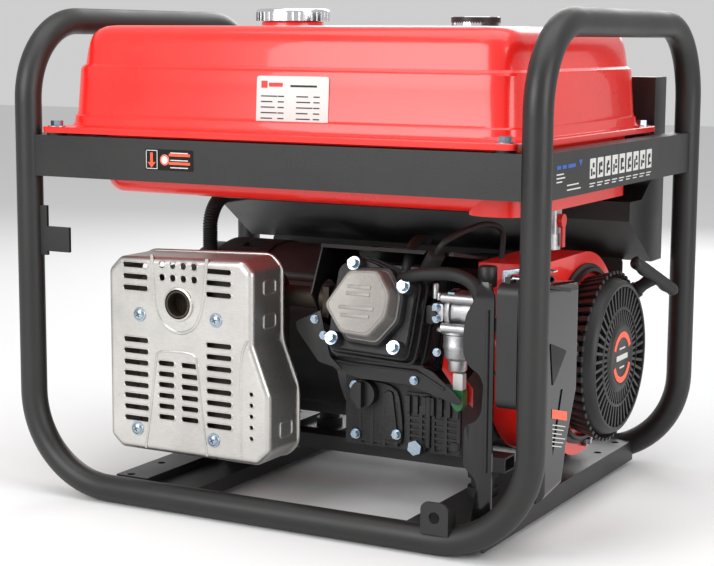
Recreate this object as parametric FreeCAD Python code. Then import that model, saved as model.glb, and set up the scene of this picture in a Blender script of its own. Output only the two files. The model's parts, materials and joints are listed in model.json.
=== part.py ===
import FreeCAD, Part
import math
import os

# Portable open-frame petrol generator, in millimetres.
# +X is the recoil starter's end, -Y the muffler's side, +Y the control panel's side, +Z up.
# The origin is under the middle of the frame, at floor level.

V = FreeCAD.Vector

# ---------------------------------------------------------------- driving dimensions
LENGTH = 690.0                # over the frame tubes, along X
WIDTH = 530.0                 # over the frame tubes, along Y
HOOP_TOP = 590.0              # top of the hoops
TUBE = 32.0                   # outside diameter of the frame tube
TUBE_WALL = 2.0
TOP_BEND = 95.0               # centreline radius of a hoop's upper corners
FOOT_BEND = 110.0             # centreline radius where a leg turns into the floor rail

BEAM_HEIGHT = 49.0
BEAM_TOP = 439.0
BEAM_FLANGE = 25.0
SHEET = 3.0
FAR_BEAM_Y = 195.0            # outer face of the beam behind the tank

CROSS_STRIP = 45.0            # width of a cross member's upper step
CROSS_LEDGE = 58.0            # width of its lower step
CROSS_DROP = 9.0
LEFT_CROSS_X = -213.0         # outer edges of the cross members
RIGHT_CROSS_X = 272.0
FOOT_HOLE_R = 5.0
FOOT_HOLE_PITCH = 64.0
FOOT_HOLE_INSET = 16.0        # from the member's outer edge
FOOT_HOLE_Y = 168.0           # inner hole of each left pair
RIGHT_FOOT_HOLE_Y = 152.0     # the right pairs keep clear of the rising tube

AXLE_X = 225.0
AXLE_Z = 45.0
AXLE_HOLE_R = 6.5
AXLE_PLATE_W = 33.0
AXLE_PLATE_TOP = 62.0

RAIL_W = 30.0
RAIL_H = 18.0
RAIL_BOTTOM = 56.0
RAIL_NEAR_Y = -77.0
RAIL_FAR_Y = 155.0
RAIL_X = (-165.0, 232.0)
MOUNT_R = 18.0
STUD_R = 5.0
FIT = 0.2                     # clearance of a bolt in its hole
RUN = 0.05                    # radial clearance of a running fit
AIR = 0.4                     # gap between faces that move past each other

CRANK_Y = 55.0
CRANK_Z = 178.0
LEAN = 18.0                   # the cylinder's lean above level, degrees, towards -Y
BORE_X = 96.0                 # the cylinder's axis
BORE_R = 46.0
THROW = 34.5                  # half the stroke
ROD = 115.0                   # the piston pin's distance from the crank pin
JOURNAL_R = 17.5
BLOCK_X = (40.0, 192.0)
COVER_T = 15.0
CAVITY_R = 78.0
DECK = 182.0                  # the block's deck, along the cylinder's axis
HEAD_T = 48.0
VALVE_COVER_T = 40.0
GASKET = 1.5

ALT_R = 112.0
STATOR_BORE = 72.0
AIR_GAP = 1.0
STATOR_X = (-150.0, -12.0)
ALT_END_X = -262.0
END_SHAFT_R = 12.5

FLYWHEEL_X = 200.0
FLYWHEEL_R = 98.0
SHROUD_R = 124.0
SHROUD_X = (196.0, 268.0)
RECOIL_R = 104.0
RECOIL_FACE_R = 90.0
RECOIL_X = (268.5, 318.0)
PULLEY_R = 46.0
ROPE_R = 38.0                 # mean radius of the wound rope

TANK_X = (-294.0, 294.0)
TANK_Y = (-225.0, 180.0)
TANK_FLANGE = (-307.0, 307.0, -255.0, 195.0)
FLANGE_Z = 442.0
FLANGE_T = 3.0
TANK_TOP = 569.0
TANK_WALL = 1.2
TANK_CORNER = 32.0
TANK_ROUND = 20.0             # the fillet round the top
FLANGE_CORNER = 10.0
TANK_TAPER = 13.0             # how far each side leans in by the top
PAN_X = (-262.0, 290.0)
PAN_Y = (-200.0, 150.0)
PAN_BOTTOM = 369.0
PAN_CORNER = 30.0
PAN_ROUND = 18.0
SUMP_BOTTOM = 366.0
CAP_AT = (-72.0, -60.0)
CAP_R = 45.0
NECK_R = 34.0
NECK_BORE = 30.0
GAUGE_AT = (172.0, -60.0)
GAUGE_R = 28.5
TAP_AT = (270.0, -60.0)

SHIELD_FACE_Y = -240.0
SHIELD_DEPTH = 68.0
SHIELD_T = 1.5
OUTLET = (-120.0, 247.0)
OUTLET_R = 16.0

PANEL_X = (-300.0, 300.0)
PANEL_BACK_Y = 205.0
FASCIA_Y = 232.0
FASCIA_T = 2.5
PANEL_Z = (275.0, 509.0)


# ---------------------------------------------------------------- helpers
def box(x0, x1, y0, y1, z0, z1):
    return Part.makeBox(x1 - x0, y1 - y0, z1 - z0, V(x0, y0, z0))


def rod(radius, start, end):
    start, end = V(*start), V(*end)
    return Part.makeCylinder(radius, (end - start).Length, start, end - start)


def ring(outer, inner, start, end):
    start, end = V(*start), V(*end)
    run = (end - start) * 0.01
    return rod(outer, start, end).cut(rod(inner, start - run, end + run))


def along_x(radius, x0, x1, y=CRANK_Y, z=CRANK_Z):
    return rod(radius, (x0, y, z), (x1, y, z))


def ring_x(outer, inner, x0, x1, y=CRANK_Y, z=CRANK_Z):
    return ring(outer, inner, (x0, y, z), (x1, y, z))


def prism_x(outline, x0, x1):
    """Extrude an outline of (y, z) points along X."""
    wire = Part.makePolygon([V(x0, y, z) for y, z in outline + outline[:1]])
    return Part.Face(wire).extrude(V(x1 - x0, 0, 0))


def prism_y(outline, y0, y1):
    """Extrude an outline of (x, z) points along Y."""
    wire = Part.makePolygon([V(x, y0, z) for x, z in outline + outline[:1]])
    return Part.Face(wire).extrude(V(0, y1 - y0, 0))


def fuse(shapes):
    first, *rest = shapes
    return first.multiFuse(rest).removeSplitter() if rest else first


def group(shapes):
    return Part.makeCompound(shapes)


def edges_where(shape, test):
    return [edge for edge in shape.Edges if test(edge)]


def is_parallel(edge, axis):
    if edge.Curve.TypeId != "Part::GeomLine":
        return False
    return abs(abs(edge.Curve.Direction.dot(axis)) - 1) < 1e-6


def soft_box(x0, x1, y0, y1, z0, z1, radius, axis):
    """A box whose edges along the axis are rounded."""
    body = box(x0, x1, y0, y1, z0, z1)
    return body.makeFillet(radius, edges_where(body, lambda edge: is_parallel(edge, axis)))


def hexagon_head(across, start, end):
    start, end = V(*start), V(*end)
    axis = end - start
    side = axis.cross(V(0.31, 0.87, 0.39)).normalize()
    other = axis.cross(side).normalize()
    radius = across / math.sqrt(3)
    turns = [math.radians(60 * i) for i in range(7)]
    points = [start + side * radius * math.cos(t) + other * radius * math.sin(t) for t in turns]
    return Part.Face(Part.makePolygon(points)).extrude(axis)


def bolt(shank_r, start, seat, head=None):
    """A hexagon bolt: the shank runs from start to seat and the head stands beyond it."""
    start, seat = V(*start), V(*seat)
    out = (seat - start).normalize()
    head = head or 1.1 * shank_r
    return fuse([rod(shank_r, start, seat), hexagon_head(3.2 * shank_r, seat, seat + out * head)])


def rounded_path(points, radii):
    """Straight runs joined by tangent arcs."""
    points = [V(*p) for p in points]
    edges = []
    here = points[0]
    for i in range(1, len(points) - 1):
        back = (points[i - 1] - points[i]).normalize()
        ahead = (points[i + 1] - points[i]).normalize()
        half = math.acos(max(-1.0, min(1.0, back.dot(ahead)))) / 2
        reach = radii[i - 1] / math.tan(half)
        start = points[i] + back * reach
        end = points[i] + ahead * reach
        centre = points[i] + (back + ahead).normalize() * (radii[i - 1] / math.sin(half))
        middle = centre + (points[i] - centre).normalize() * radii[i - 1]
        if (start - here).Length > 1e-6:
            edges.append(Part.LineSegment(here, start).toShape())
        edges.append(Part.Arc(start, middle, end).toShape())
        here = end
    if (points[-1] - here).Length > 1e-6:
        edges.append(Part.LineSegment(here, points[-1]).toShape())
    return Part.Wire(edges)


def sweep(path, radius):
    start = path.Edges[0].valueAt(path.Edges[0].FirstParameter)
    direction = path.Edges[0].tangentAt(path.Edges[0].FirstParameter)
    circle = Part.Wire([Part.Circle(start, direction, radius).toShape()])
    return path.makePipeShell([circle], True, True)


def hose(name, points, radius):
    """A hose whose arcs are as large as its runs allow."""
    radii = []
    for a, b, c in zip(points, points[1:], points[2:]):
        back, ahead = V(*a) - V(*b), V(*c) - V(*b)
        turn = math.pi - back.getAngle(ahead)
        radii.append(0.45 * min(back.Length, ahead.Length) / math.tan(turn / 2))
    print(name, "bend radii", [round(r, 1) for r in radii], "hose radius", radius)
    return sweep(rounded_path(points, radii), radius)


def save(name, shape):
    shape.exportStep(os.path.join("parts", name + ".step"))


def lean_point(s, x=BORE_X, lift=0.0):
    """A point on the leaning cylinder's axis, s from the crank, lifted across it."""
    c, k = math.cos(math.radians(LEAN)), math.sin(math.radians(LEAN))
    return V(x, CRANK_Y - s * c + lift * k, CRANK_Z + s * k + lift * c)


def lean(shape):
    """Turn a shape drawn with its cylinder axis along +Z from the origin on to the engine."""
    turned = shape.copy()
    turned.rotate(V(0, 0, 0), V(1, 0, 0), 90 - LEAN)
    turned.translate(V(0, CRANK_Y, CRANK_Z))
    return turned


# ---------------------------------------------------------------- frame
POST_X = (LENGTH - TUBE) / 2
POST_Y = (WIDTH - TUBE) / 2
RAIL_Z = TUBE / 2
TUBE_TOP_Z = HOOP_TOP - TUBE / 2


def hoop_path(side):
    foot_x = side * (POST_X - FOOT_BEND)
    x = side * POST_X
    points = [(foot_x, -POST_Y, RAIL_Z), (x, -POST_Y, RAIL_Z), (x, -POST_Y, TUBE_TOP_Z),
              (x, POST_Y, TUBE_TOP_Z), (x, POST_Y, RAIL_Z), (foot_x, POST_Y, RAIL_Z)]
    return rounded_path(points, [FOOT_BEND, TOP_BEND, TOP_BEND, FOOT_BEND])


def rail_ends(y):
    reach = POST_X - FOOT_BEND
    return (-reach, y, RAIL_Z), (reach, y, RAIL_Z)


hoop_solids = {side: sweep(hoop_path(side), TUBE / 2) for side in (-1, 1)}
hoops = {side: solid.cut(sweep(hoop_path(side), TUBE / 2 - TUBE_WALL))
         for side, solid in hoop_solids.items()}
rail_solids = [rod(TUBE / 2, *rail_ends(y)) for y in (-POST_Y, POST_Y)]
tubes = list(hoop_solids.values()) + rail_solids


def floor_rail(y):
    return ring(TUBE / 2, TUBE / 2 - TUBE_WALL, *rail_ends(y))


def angle_x(x0, x1, face_y, inwards):
    """An angle along X: its web's outer face is at face_y and its top flange turns inwards."""
    web = box(x0, x1, *sorted((face_y, face_y + inwards * SHEET)), BEAM_TOP - BEAM_HEIGHT, BEAM_TOP)
    flange = box(x0, x1, *sorted((face_y, face_y + inwards * BEAM_FLANGE)), BEAM_TOP - SHEET, BEAM_TOP)
    return fuse([web, flange])


def angle_y(y0, y1, face_x, inwards):
    web = box(*sorted((face_x, face_x + inwards * SHEET)), y0, y1, BEAM_TOP - BEAM_HEIGHT, BEAM_TOP)
    flange = box(*sorted((face_x, face_x + inwards * BEAM_FLANGE)), y0, y1, BEAM_TOP - SHEET, BEAM_TOP)
    return fuse([web, flange])


BEAM_FACE = POST_Y + 8.0
END_BEAM_FACE = POST_X + 8.0
TANK_BOLTS = [(x, y) for x in (-291.0, 291.0) for y in (-243.0, 183.0)]
TANK_BOLT_R = 4.0

near_beam = angle_x(-POST_X, POST_X, -BEAM_FACE, 1).cut(group(tubes))
near_beam = max(near_beam.Solids, key=lambda solid: solid.Volume)
end_beams = {}
for side in (-1, 1):
    beam = angle_y(-POST_Y, POST_Y, side * END_BEAM_FACE, -side).cut(group(tubes)).cut(near_beam)
    end_beams[side] = max(beam.Solids, key=lambda solid: solid.Volume)
far_reach = END_BEAM_FACE - SHEET
far_beam = angle_x(-far_reach, far_reach, FAR_BEAM_Y, -1).cut(group(list(end_beams.values())))
far_beam = max(far_beam.Solids, key=lambda solid: solid.Volume)
bolt_holes = group([rod(TANK_BOLT_R + FIT, (x, y, BEAM_TOP - BEAM_HEIGHT), (x, y, FLANGE_Z + 9))
                    for x, y in TANK_BOLTS])
near_beam = near_beam.cut(bolt_holes)
far_beam = far_beam.cut(bolt_holes)

RAIL_MOUNT_X = []


def cross_member(edge, inwards, hole_y):
    """A stepped floor channel along Y: an upper strip, a lower ledge and two turned-down lips."""
    strip = edge + inwards * CROSS_STRIP
    ledge = strip + inwards * CROSS_LEDGE
    top = TUBE
    reach = POST_Y - 9.0
    low = top - CROSS_DROP
    pieces = [box(*sorted((edge, strip)), -reach, reach, top - SHEET, top),
              box(*sorted((edge, edge + inwards * SHEET)), -reach, reach, 6, top),
              box(*sorted((strip - inwards * SHEET, strip)), -reach, reach, low - SHEET, top),
              box(*sorted((strip - inwards * SHEET, ledge)), -reach, reach, low - SHEET, low),
              box(*sorted((ledge - inwards * SHEET, ledge)), -reach, reach, 6, low)]
    RAIL_MOUNT_X.append(strip + inwards * CROSS_LEDGE / 2)
    holes = [rod(STUD_R + FIT, (RAIL_MOUNT_X[-1], y, 0), (RAIL_MOUNT_X[-1], y, top))
             for y in (RAIL_NEAR_Y, RAIL_FAR_Y)]
    x = edge + inwards * FOOT_HOLE_INSET
    holes += [rod(FOOT_HOLE_R, (x, y * s, 0), (x, y * s, top + 1))
              for y in (hole_y, hole_y + FOOT_HOLE_PITCH) for s in (-1, 1)]
    return fuse(pieces).cut(group(tubes)).cut(group(holes))


left_cross = cross_member(LEFT_CROSS_X, 1, FOOT_HOLE_Y)
right_cross = cross_member(RIGHT_CROSS_X, -1, RIGHT_FOOT_HOLE_Y)
LEDGE_Z = TUBE - CROSS_DROP


def axle_bracket(side):
    """A welded saddle on the floor rail with a rounded front plate and a hole for a wheel axle."""
    half = AXLE_PLATE_W / 2
    front = side * (WIDTH / 2)
    back = side * (WIDTH / 2 - SHEET)
    plate = box(AXLE_X - half, AXLE_X + half, *sorted((front, back)), 26, AXLE_PLATE_TOP)
    plate = plate.makeFillet(9, [e for e in plate.Edges
                                 if is_parallel(e, V(0, 1, 0)) and e.CenterOfMass.z > AXLE_PLATE_TOP - 1])
    plate = plate.cut(rod(AXLE_HOLE_R, (AXLE_X, front * 1.1, AXLE_Z), (AXLE_X, back * 0.9, AXLE_Z)))
    cheeks = [box(*sorted((AXLE_X + s * half, AXLE_X + s * (half - SHEET))),
                  *sorted((back, side * (POST_Y - 4))), 26, AXLE_PLATE_TOP - 9) for s in (-1, 1)]
    return fuse([plate] + cheeks).cut(group(tubes)).Solids[0]


def rail(y):
    body = box(*RAIL_X, y - RAIL_W / 2, y + RAIL_W / 2, RAIL_BOTTOM, RAIL_BOTTOM + RAIL_H)
    core = box(*RAIL_X, y - RAIL_W / 2 + 2, y + RAIL_W / 2 - 2, RAIL_BOTTOM + 2, RAIL_BOTTOM + RAIL_H - 2)
    holes = [rod(STUD_R + FIT, (x, y, 0), (x, y, 100)) for x in RAIL_MOUNT_X]
    return body.cut(core).cut(group(holes))


MOUNT_POINTS = [(x, y) for x in RAIL_MOUNT_X for y in (RAIL_NEAR_Y, RAIL_FAR_Y)]
RAIL_TOP = RAIL_BOTTOM + RAIL_H


def rubber_mount(x, y):
    waist = ring(MOUNT_R, STUD_R, (x, y, LEDGE_Z), (x, y, RAIL_BOTTOM))
    groove = ring(MOUNT_R + 1, MOUNT_R - 4, (x, y, LEDGE_Z + 11), (x, y, RAIL_BOTTOM - 11))
    return waist.cut(groove)


def mount_stud(x, y):
    nut = hexagon_head(16, (x, y, RAIL_TOP), (x, y, RAIL_TOP + 8))
    head = hexagon_head(16, (x, y, LEDGE_Z - SHEET), (x, y, LEDGE_Z - SHEET - 7))
    return fuse([rod(STUD_R, (x, y, LEDGE_Z - SHEET - 5), (x, y, RAIL_TOP + 11)), nut, head])


def post_hook():
    """A small flat hook welded to the near left post."""
    x0, x1, x2 = -POST_X + TUBE / 2 - 6, -POST_X + TUBE / 2 + 10, -POST_X + TUBE / 2 + 43
    outline = [(x0, 294), (x1, 294), (x1, 299), (x2, 299), (x2, 329), (x1, 329), (x1, 354), (x0, 354)]
    return prism_y(outline, -POST_Y - 2, -POST_Y + 2).cut(group(tubes)).Solids[0]


# ---------------------------------------------------------------- engine block
BLOCK_OUTLINE = [(-125, 78), (165, 78), (165, 235), (125, 278), (15, 278), (-52, 222), (-80, 178),
                 (-125, 162)]
CRANK_OUTLINE = [(-60, 84), (160, 84), (160, 230), (122, 272), (5, 272), (-60, 200)]
CAM_REACH = 60.0
CAM_DROP = 20.0
CAM_Y = CRANK_Y + CAM_REACH * math.cos(math.radians(CAM_DROP))
CAM_Z = CRANK_Z - CAM_REACH * math.sin(math.radians(CAM_DROP))
CRANK_GEAR_R = 20.0
CAM_GEAR_R = 2 * CRANK_GEAR_R
GEAR_X = (124.0, 134.0)
BEARING_R = 36.0
BEARING_W = COVER_T
CAVITY_X = (BLOCK_X[0], 150.0)
COVER_X = (BLOCK_X[0] - COVER_T, BLOCK_X[0])
CAM_R = 9.0
BARREL_R = 54.0
BARREL_START = 100.0
FIN_PITCH = 9.0
FIN_T = 3.0
FIN_X = 59.0
FIN_ACROSS = 58.0
OIL_AT = (71.0, 143.0)
OIL_R = 11.0
DRAIN_AT = (138.0, 85.0)
DRAIN_R = 5.0


def fins(start, end, half_x, half_y):
    count = int((end - start) / FIN_PITCH)
    plates = []
    for i in range(count):
        z = end - FIN_T - i * FIN_PITCH
        plate = soft_box(BORE_X - half_x, BORE_X + half_x, -half_y, half_y, z, z + FIN_T, 14, V(0, 0, 1))
        plates.append(plate)
    return plates


def cylinder_block():
    crankcase = prism_x(BLOCK_OUTLINE, *BLOCK_X)
    barrel = rod(BARREL_R, (BORE_X, 0, 60), (BORE_X, 0, DECK))
    deck = soft_box(BORE_X - FIN_X, BORE_X + FIN_X, -FIN_ACROSS, FIN_ACROSS, DECK - 8, DECK, 14, V(0, 0, 1))
    jacket = lean(fuse([barrel, deck] + fins(BARREL_START, DECK - 10, FIN_X, FIN_ACROSS)))
    jacket = jacket.common(box(0, 300, -400, CRANK_Y - 40, 0, 400))
    feet = [box(BLOCK_X[0] + 12, BLOCK_X[1] - 6, y - RAIL_W / 2, y + RAIL_W / 2, RAIL_TOP, 90)
            for y in (RAIL_NEAR_Y, RAIL_FAR_Y)]
    ribs = [box(x, x + 4, -131, -120, 82, 134) for x in range(60, 190, 16)]
    body = fuse([crankcase, jacket] + feet + ribs)
    cuts = [prism_x(CRANK_OUTLINE, COVER_X[0] - 1, COVER_X[1]),
            along_x(CAVITY_R, *CAVITY_X),
            along_x(BEARING_R, CAVITY_X[1], CAVITY_X[1] + BEARING_W),
            along_x(JOURNAL_R + 3, CAVITY_X[1], BLOCK_X[1] + 1),
            along_x(CAM_GEAR_R + 3, CAVITY_X[0], CAVITY_X[1], CAM_Y, CAM_Z),
            along_x(CAM_R + RUN, CAVITY_X[1], CAVITY_X[1] + 20, CAM_Y, CAM_Z),
            lean(rod(BORE_R, (BORE_X, 0, 0), (BORE_X, 0, DECK + 1))),
            rod(OIL_R + RUN, (OIL_AT[0], -140, OIL_AT[1]), (OIL_AT[0], -20, OIL_AT[1])),
            rod(DRAIN_R, (DRAIN_AT[0], -140, DRAIN_AT[1]), (DRAIN_AT[0], -113, DRAIN_AT[1]))]
    cuts += [rod(12, (x, y, RAIL_TOP), (x, y, RAIL_TOP + 14)) for x, y in MOUNT_POINTS]
    return body.cut(group(cuts)).removeSplitter()


def crankcase_cover():
    plate = prism_x(CRANK_OUTLINE, *COVER_X)
    return plate.cut(group([along_x(BEARING_R, COVER_X[0] - 1, COVER_X[1] + 1),
                            along_x(CAM_R + RUN, COVER_X[1] - 8, COVER_X[1] + 1, CAM_Y, CAM_Z)]))


def cover_bolts():
    places = [(-48, 100), (50, 92), (148, 100), (148, 215), (100, 262), (-30, 222)]
    return [hexagon_head(12, (COVER_X[0], y, z), (COVER_X[0] - 6, y, z)) for y, z in places]


def bearing(x0, inner, outer, width):
    return ring_x(outer, inner + RUN, x0, x0 + width)


def crankshaft():
    pin = lean_point(THROW)
    parts = [along_x(END_SHAFT_R, ALT_END_X + 12, STATOR_X[0]),
             along_x(15, STATOR_X[0], STATOR_X[1]),
             along_x(JOURNAL_R, STATOR_X[1], 72),
             along_x(50, 72, 84), along_x(50, 108, 120),
             rod(15, (84, pin.y, pin.z), (108, pin.y, pin.z)),
             along_x(JOURNAL_R, 120, FLYWHEEL_X),
             along_x(CRANK_GEAR_R, *GEAR_X),
             along_x(15, FLYWHEEL_X, FLYWHEEL_X + 58)]
    return fuse(parts)


def camshaft():
    gear = along_x(CAM_GEAR_R - AIR, *GEAR_X, CAM_Y, CAM_Z)
    shaft = along_x(CAM_R, COVER_X[1] - 7, CAVITY_X[1] + 18, CAM_Y, CAM_Z)
    lobes = [rod(11, (x, CAM_Y - 5, CAM_Z + 3), (x + 5, CAM_Y - 5, CAM_Z + 3)) for x in (136, 143)]
    return fuse([gear, shaft] + lobes)


PIN_S = ROD + THROW           # the piston pin at top dead centre, along the cylinder's axis
PISTON_R = BORE_R - 0.06
CROWN = 31.0
SKIRT = 24.0


def piston():
    body = rod(PISTON_R, (BORE_X, 0, PIN_S - SKIRT), (BORE_X, 0, PIN_S + CROWN))
    hollow = rod(PISTON_R - 6, (BORE_X, 0, PIN_S - SKIRT - 1), (BORE_X, 0, PIN_S + CROWN - 9))
    bosses = [rod(15, (BORE_X + s * 16, 0, PIN_S), (BORE_X + s * (PISTON_R - 4), 0, PIN_S)) for s in (-1, 1)]
    body = fuse([body.cut(hollow)] + [b.common(body) for b in bosses])
    grooves = [ring(PISTON_R + 1, PISTON_R - 3, (BORE_X, 0, PIN_S + z), (BORE_X, 0, PIN_S + z + 2))
               for z in (CROWN - 7, CROWN - 13, CROWN - 19)]
    bore = rod(10, (BORE_X - 60, 0, PIN_S), (BORE_X + 60, 0, PIN_S))
    return lean(body.cut(group(grooves)).cut(bore))


def piston_rings():
    return [lean(ring(PISTON_R, PISTON_R - 3, (BORE_X, 0, PIN_S + z), (BORE_X, 0, PIN_S + z + 2)))
            for z in (CROWN - 7, CROWN - 13, CROWN - 19)]


def piston_pin():
    return lean(ring(10, 6, (BORE_X - 38, 0, PIN_S), (BORE_X + 38, 0, PIN_S)))


HEAD_S = DECK + GASKET
HEAD_TOP = HEAD_S + HEAD_T
HEAD_HALF_X = 60.0
HEAD_HALF_Y = 56.0
PORT_R = 13.0
EXHAUST_LIFT = 10.0           # the ports' offset across the head
PORT_S = HEAD_S + 22
PLUG_LIFT = 30.0


def head_gasket():
    plate = soft_box(BORE_X - 58, BORE_X + 58, -54, 54, DECK, HEAD_S, 14, V(0, 0, 1))
    return lean(plate.cut(rod(BORE_R, (BORE_X, 0, DECK - 1), (BORE_X, 0, HEAD_S + 1))))


def cylinder_head():
    core = soft_box(BORE_X - 44, BORE_X + 44, -42, 42, HEAD_S, HEAD_TOP, 10, V(0, 0, 1))
    base = soft_box(BORE_X - HEAD_HALF_X, BORE_X + HEAD_HALF_X, -HEAD_HALF_Y, HEAD_HALF_Y,
                    HEAD_S, HEAD_S + 8, 14, V(0, 0, 1))
    top = soft_box(BORE_X - 50, BORE_X + 50, -46, 46, HEAD_TOP - 10, HEAD_TOP, 12, V(0, 0, 1))
    ports = [rod(20, (BORE_X, EXHAUST_LIFT, PORT_S), (BORE_X + s * HEAD_HALF_X, EXHAUST_LIFT, PORT_S))
             for s in (-1, 1)]
    cooling = fins(HEAD_S + 9, HEAD_TOP - 10, HEAD_HALF_X - 3, HEAD_HALF_Y - 3)
    body = fuse([core, base, top] + ports + cooling)
    bores = [rod(PORT_R, (BORE_X + s * 20, EXHAUST_LIFT, PORT_S),
                 (BORE_X + s * (HEAD_HALF_X + 1), EXHAUST_LIFT, PORT_S)) for s in (-1, 1)]
    chamber = rod(34, (BORE_X, 0, HEAD_S - 1), (BORE_X, 0, HEAD_S + 7))
    seat = PLUG_BASE + PLUG_AXIS * PLUG_REACH
    well = [rod(PLUG_R, PLUG_BASE, seat), rod(PLUG_CAP_R + 2.5, seat, seat + PLUG_AXIS * 60)]
    return lean(body.cut(group(bores + [chamber]))).cut(group(well))


COVER_OUTLINE = [(-46, -50), (52, -54), (54, -30), (55, 32), (36, 38), (-12, 54), (-30, 54), (-50, 4)]
DOME_OUTLINE = [(-43, -6), (-17, 38), (22, 40), (41, 14), (41, -14), (21, -40), (-16, -38)]
COVER_BOLTS = [(-36, -41), (45, 25), (44, -45), (-22, 47)]
COVER_S = HEAD_TOP + GASKET
COVER_SEAT = COVER_S + 18     # where the cover's bolts bear


def cover_prism(outline, scale, s0, s1, ease=0.0):
    points = [V(BORE_X + x * scale, y * scale, s0) for x, y in outline + outline[:1]]
    solid = Part.Face(Part.makePolygon(points)).extrude(V(0, 0, s1 - s0))
    if ease:
        solid = solid.makeFillet(ease, [e for e in solid.Edges if e.CenterOfMass.z > s1 - 0.01])
    return lean(solid)


def cover_bolt_holes(radius, start):
    return group([lean(rod(radius, (BORE_X + x, y, start), (BORE_X + x, y, 400))) for x, y in COVER_BOLTS])


def valve_cover():
    """A stepped many-sided dome on a flat rim, with a boss under each bolt."""
    rim = cover_prism(COVER_OUTLINE, 1.0, COVER_S, COVER_S + 6)
    step = cover_prism(DOME_OUTLINE, 1.14, COVER_S, COVER_SEAT)
    dome = cover_prism(DOME_OUTLINE, 1.0, COVER_S, COVER_S + VALVE_COVER_T, 5.0)
    bosses = [lean(rod(9, (BORE_X + x, y, COVER_S), (BORE_X + x, y, COVER_SEAT))) for x, y in COVER_BOLTS]
    hollow = cover_prism(DOME_OUTLINE, 0.88, COVER_S - 1, COVER_S + VALVE_COVER_T - 4)
    return fuse([rim, step, dome] + bosses).cut(hollow).cut(cover_bolt_holes(3 + FIT, 0)).cut(
        cover_bolt_holes(8.5, COVER_SEAT)).Solids[0]


def valve_cover_gasket():
    return cover_prism(COVER_OUTLINE, 1.0, HEAD_TOP, COVER_S).cut(
        cover_prism(DOME_OUTLINE, 0.88, HEAD_TOP - 1, COVER_S + 1)).cut(cover_bolt_holes(3 + FIT, 0))


def valve_cover_bolts():
    seat = COVER_SEAT
    return [lean(fuse([rod(3, (BORE_X + x, y, HEAD_TOP), (BORE_X + x, y, seat)),
                       rod(8, (BORE_X + x, y, seat + FIT), (BORE_X + x, y, seat + 2)),
                       hexagon_head(10, (BORE_X + x, y, seat + 2), (BORE_X + x, y, seat + 8))]))
            for x, y in COVER_BOLTS]


PLUG_BASE = lean_point(HEAD_S + 24, BORE_X + 42, PLUG_LIFT)
PLUG_AXIS = V(0.55, -0.35, 0.75).normalize()
PLUG_CAP_R = 10.0
PLUG_R = 7.0
PLUG_REACH = 20.0


def spark_plug():
    """The plug with its rubber cap, standing out of the head's upper corner."""
    seat = PLUG_BASE + PLUG_AXIS * PLUG_REACH
    return fuse([rod(PLUG_R, PLUG_BASE, seat), hexagon_head(18, seat, seat + PLUG_AXIS * 9),
                 rod(PLUG_CAP_R, seat + PLUG_AXIS * 9, seat + PLUG_AXIS * 40)])


# ---------------------------------------------------------------- flywheel side
def flywheel():
    disc = along_x(FLYWHEEL_R, FLYWHEEL_X, FLYWHEEL_X + 22)
    hub = along_x(30, FLYWHEEL_X + 22, FLYWHEEL_X + 40)
    blades = []
    for i in range(12):
        blade = box(FLYWHEEL_X + 22, FLYWHEEL_X + 44, CRANK_Y + 52, CRANK_Y + FLYWHEEL_R - 2,
                    CRANK_Z - 1.5, CRANK_Z + 1.5)
        blade.rotate(V(0, CRANK_Y, CRANK_Z), V(1, 0, 0), 30 * i)
        blades.append(blade)
    return fuse([disc, hub] + blades).cut(along_x(15, 0, 400))


def starter_cup():
    cup = along_x(32, FLYWHEEL_X + 40, FLYWHEEL_X + 60).cut(along_x(28, FLYWHEEL_X + 44, FLYWHEEL_X + 61))
    return cup.cut(along_x(15, 0, 400))


SHROUD_HOLE_R = 84.0
DUCT_Z = (236.0, 302.0)
DUCT_Y = -95.0


def fan_shroud():
    """The sheet blower housing: a shallow drum with a duct that leads over the cylinder."""
    def form(inset):
        drum = along_x(SHROUD_R - inset, SHROUD_X[0] + inset, SHROUD_X[1] - inset)
        duct = box(SHROUD_X[0] + inset, SHROUD_X[1] - inset, DUCT_Y + inset, CRANK_Y,
                   DUCT_Z[0] + inset, DUCT_Z[1] - inset)
        return fuse([drum, duct])
    shell = form(0).cut(form(SHEET / 2))
    return shell.cut(group([along_x(SHROUD_HOLE_R, SHROUD_X[1] - 10, SHROUD_X[1] + 1),
                            along_x(JOURNAL_R + 12, SHROUD_X[0] - 1, SHROUD_X[0] + 10),
                            box(SHROUD_X[0] - 1, SHROUD_X[0] + 4, DUCT_Y + 6, -30, DUCT_Z[0] + 6,
                                DUCT_Z[1] - 6)]))


def head_shroud():
    """Black sheet that guides the air round the cylinder: a top plate and a side plate."""
    outline = [(-40, 288), (-60, 303), (-150, 318), (-152, 314), (-62, 300), (-44, 286)]
    top = prism_x(outline, 20, 190)
    side = prism_x([(-60, 299.5), (-150, 314.5), (-176, 262), (-150, 225), (-100, 205), (-70, 240)], 20, 22)
    hole = rod(23, (10, EXHAUST_Y, EXHAUST_Z), (30, EXHAUST_Y, EXHAUST_Z))
    plug_hole = rod(PLUG_CAP_R + 3, PLUG_BASE, PLUG_BASE + PLUG_AXIS * 80)
    return fuse([top, side]).cut(group([hole, plug_hole]))


EXHAUST_Y = lean_point(PORT_S, BORE_X, EXHAUST_LIFT).y
EXHAUST_Z = lean_point(PORT_S, BORE_X, EXHAUST_LIFT).z
PORT_X = BORE_X + HEAD_HALF_X


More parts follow.
